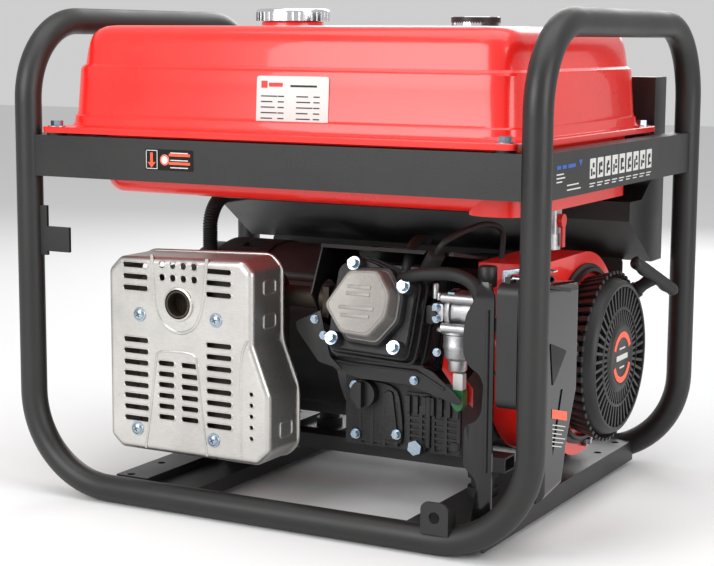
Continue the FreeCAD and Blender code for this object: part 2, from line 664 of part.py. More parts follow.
def recoil_housing():
    x0, x1 = RECOIL_X
    cone = Part.makeCone(RECOIL_R, RECOIL_FACE_R, x1 - x0, V(x0, CRANK_Y, CRANK_Z), V(1, 0, 0))
    inner = Part.makeCone(RECOIL_R - 3, RECOIL_FACE_R - 3, x1 - x0 - 3, V(x0 - 0.01, CRANK_Y, CRANK_Z),
                          V(1, 0, 0))
    shell = cone.cut(inner)
    slots = []
    for i in range(24):
        slot = box(x1 - 5, x1 + 1, CRANK_Y + 40, CRANK_Y + 78, CRANK_Z - 3, CRANK_Z + 3)
        side_slot = box(x0 + 12, x1 - 8, CRANK_Y + 70, CRANK_Y + 110, CRANK_Z - 3.5, CRANK_Z + 3.5)
        for piece in (slot, side_slot):
            piece.rotate(V(0, CRANK_Y, CRANK_Z), V(1, 0, 0), 15 * i)
            slots.append(piece)
    clear = rod(2 * ARM_R, ARM_ROOT, ARM_BEND)
    slots = [slot for slot in slots if not slot.common(clear).Volume]
    post = along_x(POST_R, x0 + 12, x1 - 2)
    flange = ring_x(RECOIL_R + 6, RECOIL_R - 3, x0, x0 + 3)
    arm = fuse([rod(ARM_R, ARM_ROOT, ARM_BEND), Part.makeSphere(ARM_R, ARM_BEND),
                rod(ARM_R, ARM_BEND, GRIP_EYE)])
    body = fuse([shell.cut(group(slots)), post, flange, arm.cut(inner)])
    run = (ARM_BEND - ARM_ROOT) * 0.5
    return body.cut(fuse([rod(ROPE_BORE, ARM_ROOT - run, ARM_BEND), Part.makeSphere(ROPE_BORE, ARM_BEND),
                          rod(ROPE_BORE, ARM_BEND, GRIP_EYE + GRIP_AXIS)]))


POST_R = 8.0
PULLEY_X = (284.0, 300.0)
GRIP_AXIS = V(0.75, 0.05, 0.60).normalize()
GRIP_ALONG = V(0.33, 0.79, -0.50)
GRIP_MIDDLE = V(318.0, 172.0, 262.0)
GRIP_R = 10.5
GRIP_HALF = 35.5              # from the grip's middle to the centre of each end
STEM = 28.0
ARM_R = 11.0
ROPE_BORE = 3.5
GRIP_EYE = GRIP_MIDDLE - GRIP_AXIS * STEM
ARM_BEND = GRIP_EYE - GRIP_AXIS * 12.0
ARM_ROOT = V(286.0, CRANK_Y + 80.0, CRANK_Z + 44.0)


def recoil_pulley():
    disc = along_x(PULLEY_R, *PULLEY_X)
    groove = ring_x(PULLEY_R + 1, PULLEY_R - 12, PULLEY_X[0] + 4, PULLEY_X[1] - 4)
    return disc.cut(groove).cut(along_x(POST_R + RUN, 0, 400))


def recoil_rope():
    return ring_x(PULLEY_R - 3, PULLEY_R - 12, PULLEY_X[0] + 4, PULLEY_X[1] - 4)


def pull_grip():
    """A T-shaped grip whose stem sits on the rope guide."""
    base = GRIP_EYE + GRIP_AXIS * AIR
    along = (GRIP_ALONG - GRIP_AXIS * GRIP_ALONG.dot(GRIP_AXIS)).normalize()
    ends = [GRIP_MIDDLE + along * s * GRIP_HALF for s in (-1, 1)]
    parts = [Part.makeCone(8, 10, STEM - 8, base, GRIP_AXIS), rod(GRIP_R, *ends),
             rod(3, base - GRIP_AXIS * 10, base)]
    return fuse(parts + [Part.makeSphere(GRIP_R, end) for end in ends])


# ---------------------------------------------------------------- alternator
def alternator_adapter():
    flange = ring_x(92, JOURNAL_R + 4, 12, COVER_X[0] - 6.5)
    spacer = ring_x(60, JOURNAL_R + 4, COVER_X[0] - 6.5, COVER_X[0])
    skirt = ring_x(ALT_R, ALT_R - 14, STATOR_X[1], 18)
    arms = []
    for i in range(6):
        arm = box(12, 18, CRANK_Y + 80, CRANK_Y + ALT_R - 6, CRANK_Z - 14, CRANK_Z + 14)
        arm.rotate(V(0, CRANK_Y, CRANK_Z), V(1, 0, 0), 60 * i + 30)
        arms.append(arm)
    return fuse([flange, spacer, skirt] + arms)


def stator_core():
    core = ring_x(ALT_R - 2, STATOR_BORE, *STATOR_X)
    scallops = []
    for i in range(4):
        scallop = along_x(8, STATOR_X[0] - 1, STATOR_X[1] + 1, CRANK_Y + ALT_R + 2, CRANK_Z)
        scallop.rotate(V(0, CRANK_Y, CRANK_Z), V(1, 0, 0), 90 * i + 45)
        scallops.append(scallop)
    return core.cut(group(scallops))


def stator_windings():
    return [ring_x(96, STATOR_BORE + 3, STATOR_X[0] - 22, STATOR_X[0]),
            ring_x(96, STATOR_BORE + 3, STATOR_X[1], STATOR_X[1] + 20)]


def rotor():
    body = along_x(STATOR_BORE - AIR_GAP, *STATOR_X)
    slots = []
    for i in range(12):
        slot = box(STATOR_X[0] - 1, STATOR_X[1] + 1, CRANK_Y + 50, CRANK_Y + 80, CRANK_Z - 4, CRANK_Z + 4)
        slot.rotate(V(0, CRANK_Y, CRANK_Z), V(1, 0, 0), 30 * i)
        slots.append(slot)
    return body.cut(group(slots)).cut(along_x(15, -400, 400))


def slip_rings():
    return [ring_x(20, END_SHAFT_R, x, x + 8) for x in (ALT_END_X + 14, ALT_END_X + 24)]


END_PLATE_X = (-226.0, -212.0)
END_BEARING_R = 26.0


def alternator_end_cover():
    skirt = ring_x(ALT_R, ALT_R - 8, END_PLATE_X[0], STATOR_X[0])
    plate = ring_x(ALT_R - 2, END_BEARING_R, *END_PLATE_X)
    lugs = [box(-206, -172, *sorted((y0, y1)), RAIL_TOP, 122)
            for y0, y1 in ((RAIL_NEAR_Y - RAIL_W / 2, -20), (RAIL_FAR_Y + RAIL_W / 2, 130))]
    lugs = [lug.cut(along_x(ALT_R - 4, -300, 0)) for lug in lugs]
    slots = []
    for i in range(12):
        slot = box(END_PLATE_X[1] + 16, STATOR_X[0] - 22, CRANK_Y + 80, CRANK_Y + 130, CRANK_Z - 8,
                   CRANK_Z + 8)
        slot.rotate(V(0, CRANK_Y, CRANK_Z), V(1, 0, 0), 30 * i + 15)
        slots.append(slot)
        slot = box(END_PLATE_X[0] - 1, END_PLATE_X[1] + 1, CRANK_Y + 40, CRANK_Y + 88, CRANK_Z - 7,
                   CRANK_Z + 7)
        slot.rotate(V(0, CRANK_Y, CRANK_Z), V(1, 0, 0), 30 * i)
        slots.append(slot)
    return fuse([skirt.cut(group(slots)), plate.cut(group(slots))] + lugs)


def end_bearing():
    return ring_x(END_BEARING_R, END_SHAFT_R + RUN, *END_PLATE_X)


def alternator_cap():
    x0, x1 = ALT_END_X, END_PLATE_X[0]
    shell = along_x(ALT_R - 8, x0, x1).cut(along_x(ALT_R - 11, x0 + 3, x1 + 1))
    slots = [box(x0 - 1, x0 + 4, CRANK_Y - 60, CRANK_Y + 60, CRANK_Z + z, CRANK_Z + z + 5)
             for z in range(-70, 70, 14)]
    eye = rod(CONDUIT_R, (CONDUIT_X, CONDUIT_Y, CRANK_Z + 60), (CONDUIT_X, CONDUIT_Y, CRANK_Z + 130))
    return shell.cut(group(slots)).cut(eye)


def voltage_regulator():
    return box(ALT_END_X + 8, END_PLATE_X[0] - 2, CRANK_Y + 32, CRANK_Y + 70, CRANK_Z - 50, CRANK_Z + 30)


def brush_holder():
    y0 = CRANK_Y - 20 - AIR
    return box(ALT_END_X + 13, ALT_END_X + 33, y0 - 26, y0, CRANK_Z - 9, CRANK_Z + 9)


CONDUIT_R = 10.0
CONDUIT_X = ALT_END_X + 22
CONDUIT_Y = CRANK_Y - 45
CONDUIT_TOP = 346.0

# ---------------------------------------------------------------- exhaust
MUFFLER = (-190.0, -34.0, -228.0, -128.0, 86.0, 284.0)
MUFFLER_WALL = 2.0


def muffler_body():
    body = soft_box(*MUFFLER, 26, V(0, 1, 0))
    body = body.makeFillet(5, edges_where(body, lambda e: abs(e.BoundBox.YLength) < 1e-6))
    x0, x1, y0, y1, z0, z1 = MUFFLER
    wall = MUFFLER_WALL
    hollow = soft_box(x0 + wall, x1 - wall, y0 + wall, y1 - wall, z0 + wall, z1 - wall, 24, V(0, 1, 0))
    outlet = rod(OUTLET_R, (OUTLET[0], y0 - 5, OUTLET[1]), (OUTLET[0], y0 + 5, OUTLET[1]))
    inlet = rod(PIPE_R - 2, (x1 - 5, EXHAUST_Y, EXHAUST_Z), (x1 + 5, EXHAUST_Y, EXHAUST_Z))
    return body.cut(group([hollow, outlet, inlet]))


def outlet_pipe():
    return ring(OUTLET_R, OUTLET_R - 2, (OUTLET[0], MUFFLER[2] + 30, OUTLET[1]),
                (OUTLET[0], SHIELD_FACE_Y - 3, OUTLET[1]))


PIPE_R = 13.0


def exhaust_pipe():
    port = V(BORE_X - HEAD_HALF_X, EXHAUST_Y, EXHAUST_Z)
    end = V(MUFFLER[1], EXHAUST_Y, EXHAUST_Z)
    flange = box(port.x - 8, port.x, port.y - 24, port.y + 24, port.z - 18, port.z + 18)
    pipe = fuse([rod(PIPE_R, end, port), flange])
    return pipe.cut(rod(PIPE_R - 2, end - V(1, 0, 0), port + V(1, 0, 0)))


SHIELD_OUTLINE = [(-222, 80), (-206, 66), (-14, 66), (2, 82), (2, 150), (-20, 205), (-20, 290), (-34, 304),
                  (-206, 298), (-222, 282)]
SHIELD_ROUND = 12.0           # the outline's corners
SHIELD_FILLET = 8.0           # the pressed front edge
SLOT_H = 6.0
SLOT_PITCH = 13.6
SHIELD_SCREWS = [(-176.0, 230.5), (-69.0, 232.0), (-181.0, 92.0), (-73.0, 90.0)]


def shield_slots():
    y0, y1 = SHIELD_FACE_Y - 5, SHIELD_FACE_Y + 5
    holes = []
    for column, top in (((-199.0, -164.0), 202.7), ((-82.0, -48.0), 205.5)):
        holes += [(column, 292 - SLOT_PITCH * i) for i in range(3)]
        holes += [(column, top - SLOT_PITCH * i) for i in range(8)]
    for column in ((-149.5, -127.5), (-118.0, -93.0)):
        holes += [(column, 178 - 12.9 * i) for i in range(6)]
    cuts = [soft_box(x0, x1, y0, y1, z - SLOT_H, z, 2.9, V(0, 1, 0)) for (x0, x1), z in holes]
    rounds = [(-143.5 + 15 * i, 292.0 - 15 * j) for i in range(4) for j in range(2)]
    cuts += [rod(4, (x, y0, z), (x, y1, z)) for x, z in rounds]
    return cuts + [rod(2.5, (-21, y0, 150 - 13 * i), (-21, y1, 150 - 13 * i)) for i in range(5)]


def shield_form(inset):
    middle = V(-110, 0, 184)
    points = []
    for x, z in SHIELD_OUTLINE:
        points.append((x - math.copysign(inset, x - middle.x), z - math.copysign(inset, z - middle.z)))
    back = SHIELD_FACE_Y + SHIELD_DEPTH + (9 if inset else 0)
    form = prism_y(points, SHIELD_FACE_Y + inset, back)
    form = form.makeFillet(SHIELD_ROUND - inset, edges_where(form, lambda e: is_parallel(e, V(0, 1, 0))))
    face = edges_where(form, lambda e: e.BoundBox.YMax < SHIELD_FACE_Y + inset + 1)
    return form.makeFillet(SHIELD_FILLET - inset, face)


def muffler_shield():
    shell = shield_form(0).cut(shield_form(SHIELD_T))
    outlet = rod(OUTLET_R + 3, (OUTLET[0], SHIELD_FACE_Y - 9, OUTLET[1]),
                 (OUTLET[0], SHIELD_FACE_Y + 9, OUTLET[1]))
    pipe_gap = box(-34, 8, EXHAUST_Y - 19, EXHAUST_Y + 40, EXHAUST_Z - 19, EXHAUST_Z + 19)
    screws = [rod(3 + FIT, (x, SHIELD_FACE_Y - 9, z), (x, SHIELD_FACE_Y + 9, z)) for x, z in SHIELD_SCREWS]
    return shell.cut(group(shield_slots() + [outlet, pipe_gap] + screws))


def shield_screws():
    face = SHIELD_FACE_Y
    return [fuse([rod(3, (x, face, z), (x, MUFFLER[2], z)), rod(6.5, (x, face - 3, z), (x, face, z))])
            for x, z in SHIELD_SCREWS]


# ---------------------------------------------------------------- tank
def dome_wire(inset, z, lean_in, corner):
    x0, x1 = TANK_X[0] + inset + lean_in, TANK_X[1] - inset - lean_in
    y0, y1 = TANK_Y[0] + inset + lean_in, TANK_Y[1] - inset - lean_in
    face = soft_box(x0, x1, y0, y1, z, z + 1, corner, V(0, 0, 1))
    return [f for f in face.Faces if f.BoundBox.ZMax < z + 1e-6][0].OuterWire


def dome(inset):
    wires = [dome_wire(inset, FLANGE_Z, 0, TANK_CORNER - inset),
             dome_wire(inset, TANK_TOP - inset, TANK_TAPER, TANK_CORNER - inset - 2)]
    body = Part.makeLoft(wires, True, True)
    top = edges_where(body, lambda e: e.BoundBox.ZMin > TANK_TOP - inset - 0.01)
    return body.makeFillet(TANK_ROUND - inset, top)


def tank_upper():
    x0, x1, y0, y1 = TANK_FLANGE
    flange = soft_box(x0, x1, y0, y1, FLANGE_Z + FLANGE_T, FLANGE_Z + 2 * FLANGE_T, FLANGE_CORNER, V(0, 0, 1))
    skin = dome(0).common(box(-400, 400, -400, 400, FLANGE_Z + FLANGE_T, 700))
    neck = rod(NECK_R + 4, (*CAP_AT, TANK_TOP - 4), (*CAP_AT, TANK_TOP + 6))
    boss = rod(GAUGE_R + 2, (*GAUGE_AT, TANK_TOP - 4), (*GAUGE_AT, TANK_TOP + 1))
    body = fuse([skin, flange, neck, boss]).cut(dome(TANK_WALL))
    cuts = [rod(NECK_BORE, (*CAP_AT, 500), (*CAP_AT, 600)), rod(GAUGE_R - 6, (*GAUGE_AT, 500),
                                                                (*GAUGE_AT, 600)),
            bolt_holes]
    return body.cut(group(cuts))


def pan_form(inset):
    main = soft_box(PAN_X[0] + inset, PAN_X[1] - inset, PAN_Y[0] + inset, PAN_Y[1] - inset,
                    PAN_BOTTOM + inset, 500, PAN_CORNER - inset, V(0, 0, 1))
    main = main.makeFillet(PAN_ROUND - inset, edges_where(main,
                                                          lambda e: e.BoundBox.ZMax < PAN_BOTTOM + inset + 1))
    sump = soft_box(PAN_X[1] - 70 + inset, PAN_X[1] - inset, PAN_Y[0] + inset, PAN_Y[1] - inset,
                    SUMP_BOTTOM + inset, 500, PAN_CORNER - inset, V(0, 0, 1))
    return fuse([main, sump])


def tank_lower():
    x0, x1, y0, y1 = TANK_FLANGE
    flange = soft_box(x0, x1, y0, y1, FLANGE_Z, FLANGE_Z + FLANGE_T, FLANGE_CORNER, V(0, 0, 1))
    pan = pan_form(0).common(box(-400, 400, -400, 400, 0, FLANGE_Z + FLANGE_T))
    body = fuse([flange, pan]).cut(pan_form(TANK_WALL))
    return body.cut(bolt_holes).cut(rod(5, (*TAP_AT, 300), (*TAP_AT, 400)))


def tank_washers():
    return [ring(12, TANK_BOLT_R, (x, y, BEAM_TOP), (x, y, FLANGE_Z)) for x, y in TANK_BOLTS]


def tank_bolts():
    seat = FLANGE_Z + 2 * FLANGE_T
    bolts = []
    for x, y in TANK_BOLTS:
        washer = rod(11, (x, y, seat), (x, y, seat + 2))
        nut = hexagon_head(13, (x, y, BEAM_TOP - SHEET), (x, y, BEAM_TOP - SHEET - 6))
        bolts.append(fuse([bolt(TANK_BOLT_R, (x, y, BEAM_TOP - SHEET - 8), (x, y, seat + 2), 6), washer,
                           nut]))
    return bolts


CAP_SEAT = TANK_TOP + 6 + AIR


def cap_insert():
    plug = rod(NECK_BORE - AIR, (*CAP_AT, TANK_TOP - 12), (*CAP_AT, CAP_SEAT))
    return plug.cut(rod(NECK_BORE - 8, (*CAP_AT, TANK_TOP - 13), (*CAP_AT, CAP_SEAT - 4)))


def fuel_cap():
    lid = rod(CAP_R, (*CAP_AT, CAP_SEAT), (*CAP_AT, HOOP_TOP))
    lid = lid.makeFillet(4, edges_where(lid, lambda e: e.BoundBox.ZMin > HOOP_TOP - 1))
    knurls = []
    for i in range(36):
        turn = math.radians(10 * i)
        x, y = CAP_AT[0] + CAP_R * math.cos(turn), CAP_AT[1] + CAP_R * math.sin(turn)
        knurls.append(rod(1.6, (x, y, CAP_SEAT - 1), (x, y, HOOP_TOP - 4)))
    return lid.cut(group(knurls)).cut(rod(8, (*CAP_AT, CAP_SEAT - 1), (*CAP_AT, CAP_SEAT + 3)))


def fuel_gauge():
    body = rod(GAUGE_R, (*GAUGE_AT, TANK_TOP + 1), (*GAUGE_AT, TANK_TOP + 11))
    stem = rod(GAUGE_R - 6.2, (*GAUGE_AT, TANK_TOP - 20), (*GAUGE_AT, TANK_TOP + 1))
    dial = rod(GAUGE_R - 5, (*GAUGE_AT, TANK_TOP + 7), (*GAUGE_AT, TANK_TOP + 12))
    return fuse([body, stem]).cut(dial)


def fuel_tap():
    x, y = TAP_AT
    body = soft_box(x - 10, x + 10, y - 10, y + 10, SUMP_BOTTOM - 30, SUMP_BOTTOM, 3, V(0, 0, 1))
    bowl = rod(11, (x, y, SUMP_BOTTOM - 48), (x, y, SUMP_BOTTOM - 30))
    stem = rod(5, (x, y, SUMP_BOTTOM), (x, y, SUMP_BOTTOM + 12))
    spigot = rod(3.5, (x, y - 22, SUMP_BOTTOM - 22), (x, y - 10, SUMP_BOTTOM - 22))
    pivot = rod(5, (x + 10, y, SUMP_BOTTOM - 15), (x + 13, y, SUMP_BOTTOM - 15))
    return fuse([body, bowl, stem, spigot, pivot])


def tap_lever():
    x, y = TAP_AT
    z = SUMP_BOTTOM - 15
    hub = ring(8, 5 + RUN, (x + 10 + AIR, y, z), (x + 16, y, z))
    arm = box(x + 13 + AIR, x + 16, y - 4, y + 4, z - 30, z - 6)
    cap = rod(8, (x + 13 + AIR, y, z), (x + 16, y, z))
    return fuse([hub, arm, cap])


# ---------------------------------------------------------------- intake
THROAT_Y = EXHAUST_Y
THROAT_Z = EXHAUST_Z
CARB_X = (184.0, 232.0)
THROTTLE_X = 194.0
CHOKE_X = 222.0
SPINDLE_RUN = 0.09            # radial clearance of a butterfly's spindle
BOWL_X = 208.0
BOWL_R = 19.0
SPIGOT_Z = THROAT_Z - 36
CLEANER_X = (276.0, 300.0)


def carb_spacer():
    block = box(PORT_X, CARB_X[0], THROAT_Y - 22, THROAT_Y + 22, THROAT_Z - 17, THROAT_Z + 17)
    return block.cut(along_x(12, 0, 400, THROAT_Y, THROAT_Z))


def carburettor():
    body = soft_box(*CARB_X, THROAT_Y - 20, THROAT_Y + 20, THROAT_Z - 20, THROAT_Z + 20, 5, V(1, 0, 0))
    bowl = rod(BOWL_R, (BOWL_X, THROAT_Y, THROAT_Z - 48), (BOWL_X, THROAT_Y, THROAT_Z - 20))
    drain = rod(5, (BOWL_X, THROAT_Y, THROAT_Z - 54), (BOWL_X, THROAT_Y, THROAT_Z - 48))
    spigot = rod(3.5, (BOWL_X + BOWL_R - 2, THROAT_Y, SPIGOT_Z), (BOWL_X + BOWL_R + 14, THROAT_Y, SPIGOT_Z))
    return fuse([body, bowl, drain, spigot]).cut(group([
        along_x(12, 0, 400, THROAT_Y, THROAT_Z),
        rod(3 + SPINDLE_RUN, (THROTTLE_X, THROAT_Y, THROAT_Z - 16), (THROTTLE_X, THROAT_Y, THROAT_Z + 21)),
        rod(3 + SPINDLE_RUN, (CHOKE_X, THROAT_Y, THROAT_Z - 16), (CHOKE_X, THROAT_Y, THROAT_Z + 21))]))


def lever(x, reach, level):
    """A butterfly's spindle with a short arm on top, level above the throat."""
    spindle = rod(3, (x, THROAT_Y, THROAT_Z - 15), (x, THROAT_Y, THROAT_Z + level + 3))
    disc = along_x(11, x - 0.8, x + 0.8, THROAT_Y, THROAT_Z)
    arm = box(x - 4, x + 4, THROAT_Y - reach, THROAT_Y, THROAT_Z + level, THROAT_Z + level + 3)
    return fuse([spindle, disc, arm])


def intake_elbow():
    return ring_x(17, 12, CARB_X[1], CLEANER_X[0], THROAT_Y, THROAT_Z)


CLEANER_Y = (-224.0, -118.0)
CLEANER_Z = (162.0, 298.0)


def cleaner_housing():
    shell = soft_box(*CLEANER_X, *CLEANER_Y, *CLEANER_Z, 12, V(1, 0, 0))
    hollow = soft_box(CLEANER_X[0] + 2, CLEANER_X[1] + 1, CLEANER_Y[0] + 2, CLEANER_Y[1] - 2,
                      CLEANER_Z[0] + 2, CLEANER_Z[1] - 2, 10, V(1, 0, 0))
    return shell.cut(hollow).cut(along_x(12, 0, 400, THROAT_Y, THROAT_Z))


COVER_TAIL_Z = 63.0


def cleaner_cover():
    x0, x1 = CLEANER_X[1], 330.0
    def form(inset):
        y0, y1 = CLEANER_Y[0] + inset, CLEANER_Y[1] - inset
        outline = [(y0 + 6, COVER_TAIL_Z + inset), (y0 + 66, COVER_TAIL_Z + 8 + inset),
                   (y1 - 24, CLEANER_Z[0] - 40),
                   (y1, CLEANER_Z[0] + 10), (y1, CLEANER_Z[1] - 6 - inset), (y0 + 10,
                                                                             CLEANER_Z[1] + 2 - inset),
                   (y0, CLEANER_Z[1] - 10 - inset)]
        start = x0 - 1 if inset else x0
        body = prism_x(outline, start, x1 - inset)
        face = edges_where(body, lambda e: e.BoundBox.XMin > x1 - inset - 0.01)
        return body.makeFillet(9 - inset, face)
    shell = form(0).cut(form(2.5))
    recess = prism_x([(-200, 180), (-165, 180), (-190, 110)], x1 - 1.2, x1 + 1)
    return shell.cut(recess)


def cleaner_clip(y):
    """A sprung over-centre clip on the housing's top."""
    z = CLEANER_Z[1]
    hub = rod(3, (CLEANER_X[0] + 8, y - 7, z + 4), (CLEANER_X[0] + 8, y + 7, z + 4))
    blade = box(CLEANER_X[0] + 8, CLEANER_X[1] + 8, y - 6, y + 6, z + 5, z + 6.5)
    return fuse([hub, blade]).cut(rod(1.5 + RUN, (CLEANER_X[0] + 8, y - 20, z + 4),
                                      (CLEANER_X[0] + 8, y + 20, z + 4)))


CLIP_Y = (-206.0, -138.0)


def clip_pins():
    z = CLEANER_Z[1]
    pins = []
    for y in CLIP_Y:
        x = CLEANER_X[0] + 8
        ears = [box(x - 3, x + 3, *sorted((y + s * (7 + AIR), y + s * 9)), z, z + 7) for s in (-1, 1)]
        pins.append(fuse([rod(1.5, (x, y - 9, z + 4), (x, y + 9, z + 4))] + ears))
    return pins


def cleaner_stay():
    """The sheet stay that carries the air cleaner from the right cross member."""
    outline = [(254, TUBE), (271, TUBE), (271, 70), (281, 100), (281, 150), (275, 160), (275, 312),
               (266, 322),
               (256, 322), (249, 312), (249, 160), (262, 110), (262, 70), (254, 60)]
    plate = prism_y(outline, CLEANER_Y[0] - 2, CLEANER_Y[0] + 1)
    foot = box(254, 271, CLEANER_Y[0] - 2, CLEANER_Y[0] + 30, TUBE, TUBE + 3)
    tongue = box(260, CLEANER_X[0], CLEANER_Y[0] - 2, CLEANER_Y[0] + 16, 200, 203)
    return fuse([plate, foot, tongue])


# ---------------------------------------------------------------- control panel
PANEL_DEEP_Y = 122.0
PANEL_OUTLINE = [(FASCIA_Y, PANEL_Z[0]), (FASCIA_Y, PANEL_Z[1]), (PANEL_BACK_Y, PANEL_Z[1]),
                 (PANEL_BACK_Y, 384),
                 (165, 358), (PANEL_DEEP_Y, 358), (PANEL_DEEP_Y, 334), (210, PANEL_Z[0])]
PANEL_INNER = [(FASCIA_Y + 1, PANEL_Z[0] + 2), (FASCIA_Y + 1, PANEL_Z[1] - 2),
               (PANEL_BACK_Y + 2, PANEL_Z[1] - 2),
               (PANEL_BACK_Y + 2, 383), (165.7, 356), (PANEL_DEEP_Y + 2, 356), (PANEL_DEEP_Y + 2, 335.4),
               (210.6, PANEL_Z[0] + 2)]


def panel_box():
    shell = prism_x(PANEL_OUTLINE, *PANEL_X).cut(prism_x(PANEL_INNER, PANEL_X[0] + 2, PANEL_X[1] - 2))
    entry = rod(CONDUIT_R, (CONDUIT_X, PANEL_DEEP_Y - 9, CONDUIT_TOP),
                (CONDUIT_X, PANEL_DEEP_Y + 9, CONDUIT_TOP))
    return shell.cut(entry)


SOCKETS = [(-60.0, 335.0), (-150.0, 335.0)]
BIG_SOCKET = (-238.0, 345.0)
SOCKET_R = 22.0
BIG_SOCKET_R = 30.0
BREAKERS = [(-60.0, 405.0), (-150.0, 405.0)]
MAIN_BREAKER = (30.0, 420.0)
METER = (130.0, 430.0)
METER_HALF = 27.0
SWITCH = (225.0, 430.0)
DC_SOCKET = (130.0, 335.0)
EARTH = (255.0, 300.0)
LAMP = (225.0, 370.0)
FACE_Y = FASCIA_Y + FASCIA_T


def through(radius, at):
    return rod(radius, (at[0], FASCIA_Y - 5, at[1]), (at[0], FACE_Y + 5, at[1]))


def fascia():
    x0, x1 = PANEL_X
    plate = box(x0, x1, FASCIA_Y, FACE_Y, *PANEL_Z)
    rim = [box(x0, x1, FACE_Y, FACE_Y + 14, PANEL_Z[1] - 2, PANEL_Z[1]),
           box(x0, x1, FACE_Y, FACE_Y + 14, PANEL_Z[0], PANEL_Z[0] + 2),
           box(x0, x0 + 2, FACE_Y, FACE_Y + 14, *PANEL_Z),
           box(x1 - 2, x1, FACE_Y, FACE_Y + 14, *PANEL_Z)]
    cuts = [through(SOCKET_R, at) for at in SOCKETS] + [through(BIG_SOCKET_R, BIG_SOCKET)]
    cuts += [through(6, at) for at in BREAKERS] + [through(8, SWITCH), through(10, DC_SOCKET),
                                                   through(5, LAMP)]
    cuts += [through(4, EARTH)]
    for x, z, half_x, half_z in ((*METER, METER_HALF - 3, METER_HALF - 3), (*MAIN_BREAKER, 18, 24)):
        cuts.append(box(x - half_x, x + half_x, FASCIA_Y - 5, FACE_Y + 5, z - half_z, z + half_z))
    return fuse([plate] + rim).cut(group(cuts))


def socket(at, radius):
    x, z = at
    cup = rod(radius, (x, FASCIA_Y - 22, z), (x, FACE_Y, z))
    flange = box(x - radius - 5, x + radius + 5, FACE_Y, FACE_Y + 4, z - radius - 5, z + radius + 5)
    hollow = rod(radius - 3, (x, FASCIA_Y - 18, z), (x, FACE_Y + 5, z))
    body = fuse([cup, flange]).cut(hollow)
    hinge_z = z + radius + 9
    ears = [box(*sorted((x + s * (radius - 1), x + s * (radius + 4))), FACE_Y, FACE_Y + 9, z + radius + 4,
                hinge_z + 4)
            for s in (-1, 1)]
    pin = rod(1.5, (x - radius - 1, FACE_Y + 5, hinge_z), (x + radius + 1, FACE_Y + 5, hinge_z))
    return fuse([body, pin] + ears)


def socket_lid(at, radius):
    x, z = at
    hinge_z = z + radius + 9
    y0 = FACE_Y + 4 + AIR
    plate = soft_box(x - radius - 3, x + radius + 3, y0, y0 + 4, z - radius - 3, z + radius + 3, 6,
                     V(0, 1, 0))
    barrel = rod(3.5, (x - radius + 2, FACE_Y + 5, hinge_z), (x + radius - 2, FACE_Y + 5, hinge_z))
    web = box(x - radius + 2, x + radius - 2, y0 + 1, y0 + 4, z + radius, hinge_z)
    lip = box(x - 9, x + 9, y0 + 4, y0 + 9, z - radius - 2, z - radius + 1)
    return fuse([plate, barrel, web, lip]).cut(
        rod(1.5 + RUN, (x - radius - 9, FACE_Y + 5, hinge_z), (x + radius + 9, FACE_Y + 5, hinge_z)))


def breaker_body(at):
    x, z = at
    return fuse([rod(6, (x, FASCIA_Y - 20, z), (x, FACE_Y, z)),
                 rod(11, (x, FACE_Y, z), (x, FACE_Y + 5, z))]).cut(
        rod(4 + 0.1, (x, FASCIA_Y - 16, z), (x, FACE_Y + 6, z)))


def breaker_button(at):
    x, z = at
    return rod(4, (x, FASCIA_Y - 11, z), (x, FACE_Y + 10, z))


def main_breaker():
    x, z = MAIN_BREAKER
    body = box(x - 18, x + 18, FASCIA_Y - 24, FACE_Y + 5, z - 24, z + 24)
    slot = box(x - 6, x + 6, FASCIA_Y - 8, FACE_Y + 6, z - 12, z + 12)
    pin = rod(2, (x - 7, FACE_Y, z), (x + 7, FACE_Y, z))
    return fuse([body.cut(slot), pin])


def main_toggle():
    x, z = MAIN_BREAKER
    hub = rod(5, (x - 6 + AIR, FACE_Y, z), (x + 6 - AIR, FACE_Y, z))
    arm = box(x - 6 + AIR, x + 6 - AIR, FACE_Y, FACE_Y + 16, z - 2.5, z + 2.5)
    return fuse([hub, arm]).cut(rod(2 + RUN, (x - 20, FACE_Y, z), (x + 20, FACE_Y, z)))


def voltmeter():
    x, z = METER
    h = METER_HALF
    flange = box(x - h, x + h, FACE_Y, FACE_Y + 6, z - h, z + h)
    case = box(x - h + 3, x + h - 3, FASCIA_Y - 25, FACE_Y, z - h + 3, z + h - 3)
    dial = box(x - h + 4, x + h - 4, FACE_Y + 1, FACE_Y + 7, z - h + 10, z + h - 4)
    return fuse([flange, case]).cut(dial)


def engine_switch():
    x, z = SWITCH
    return fuse([rod(8, (x, FASCIA_Y - 18, z), (x, FACE_Y, z)),
                 rod(14, (x, FACE_Y, z), (x, FACE_Y + 4, z))]).cut(
        rod(5 + RUN, (x, FASCIA_Y - 10, z), (x, FACE_Y + 5, z)))


def switch_key():
    x, z = SWITCH
    return fuse([rod(5, (x, FASCIA_Y - 9, z), (x, FACE_Y + 4 + AIR, z)),
                 rod(10, (x, FACE_Y + 4 + AIR, z), (x, FACE_Y + 9, z)),
                 box(x - 2.5, x + 2.5, FACE_Y + 9, FACE_Y + 22, z - 11, z + 11)])


def earth_stud():
    x, z = EARTH
    return fuse([rod(3.9, (x, FASCIA_Y - 14, z), (x, FACE_Y, z)), rod(3, (x, FACE_Y, z), (x, FACE_Y + 22, z)),
                 hexagon_head(12, (x, FACE_Y, z), (x, FACE_Y + 5, z))])


def dc_socket():
    x, z = DC_SOCKET
    return fuse([rod(10, (x, FASCIA_Y - 22, z), (x, FACE_Y, z)),
                 rod(15, (x, FACE_Y, z), (x, FACE_Y + 4, z))]).cut(
        rod(8, (x, FASCIA_Y - 18, z), (x, FACE_Y + 5, z)))


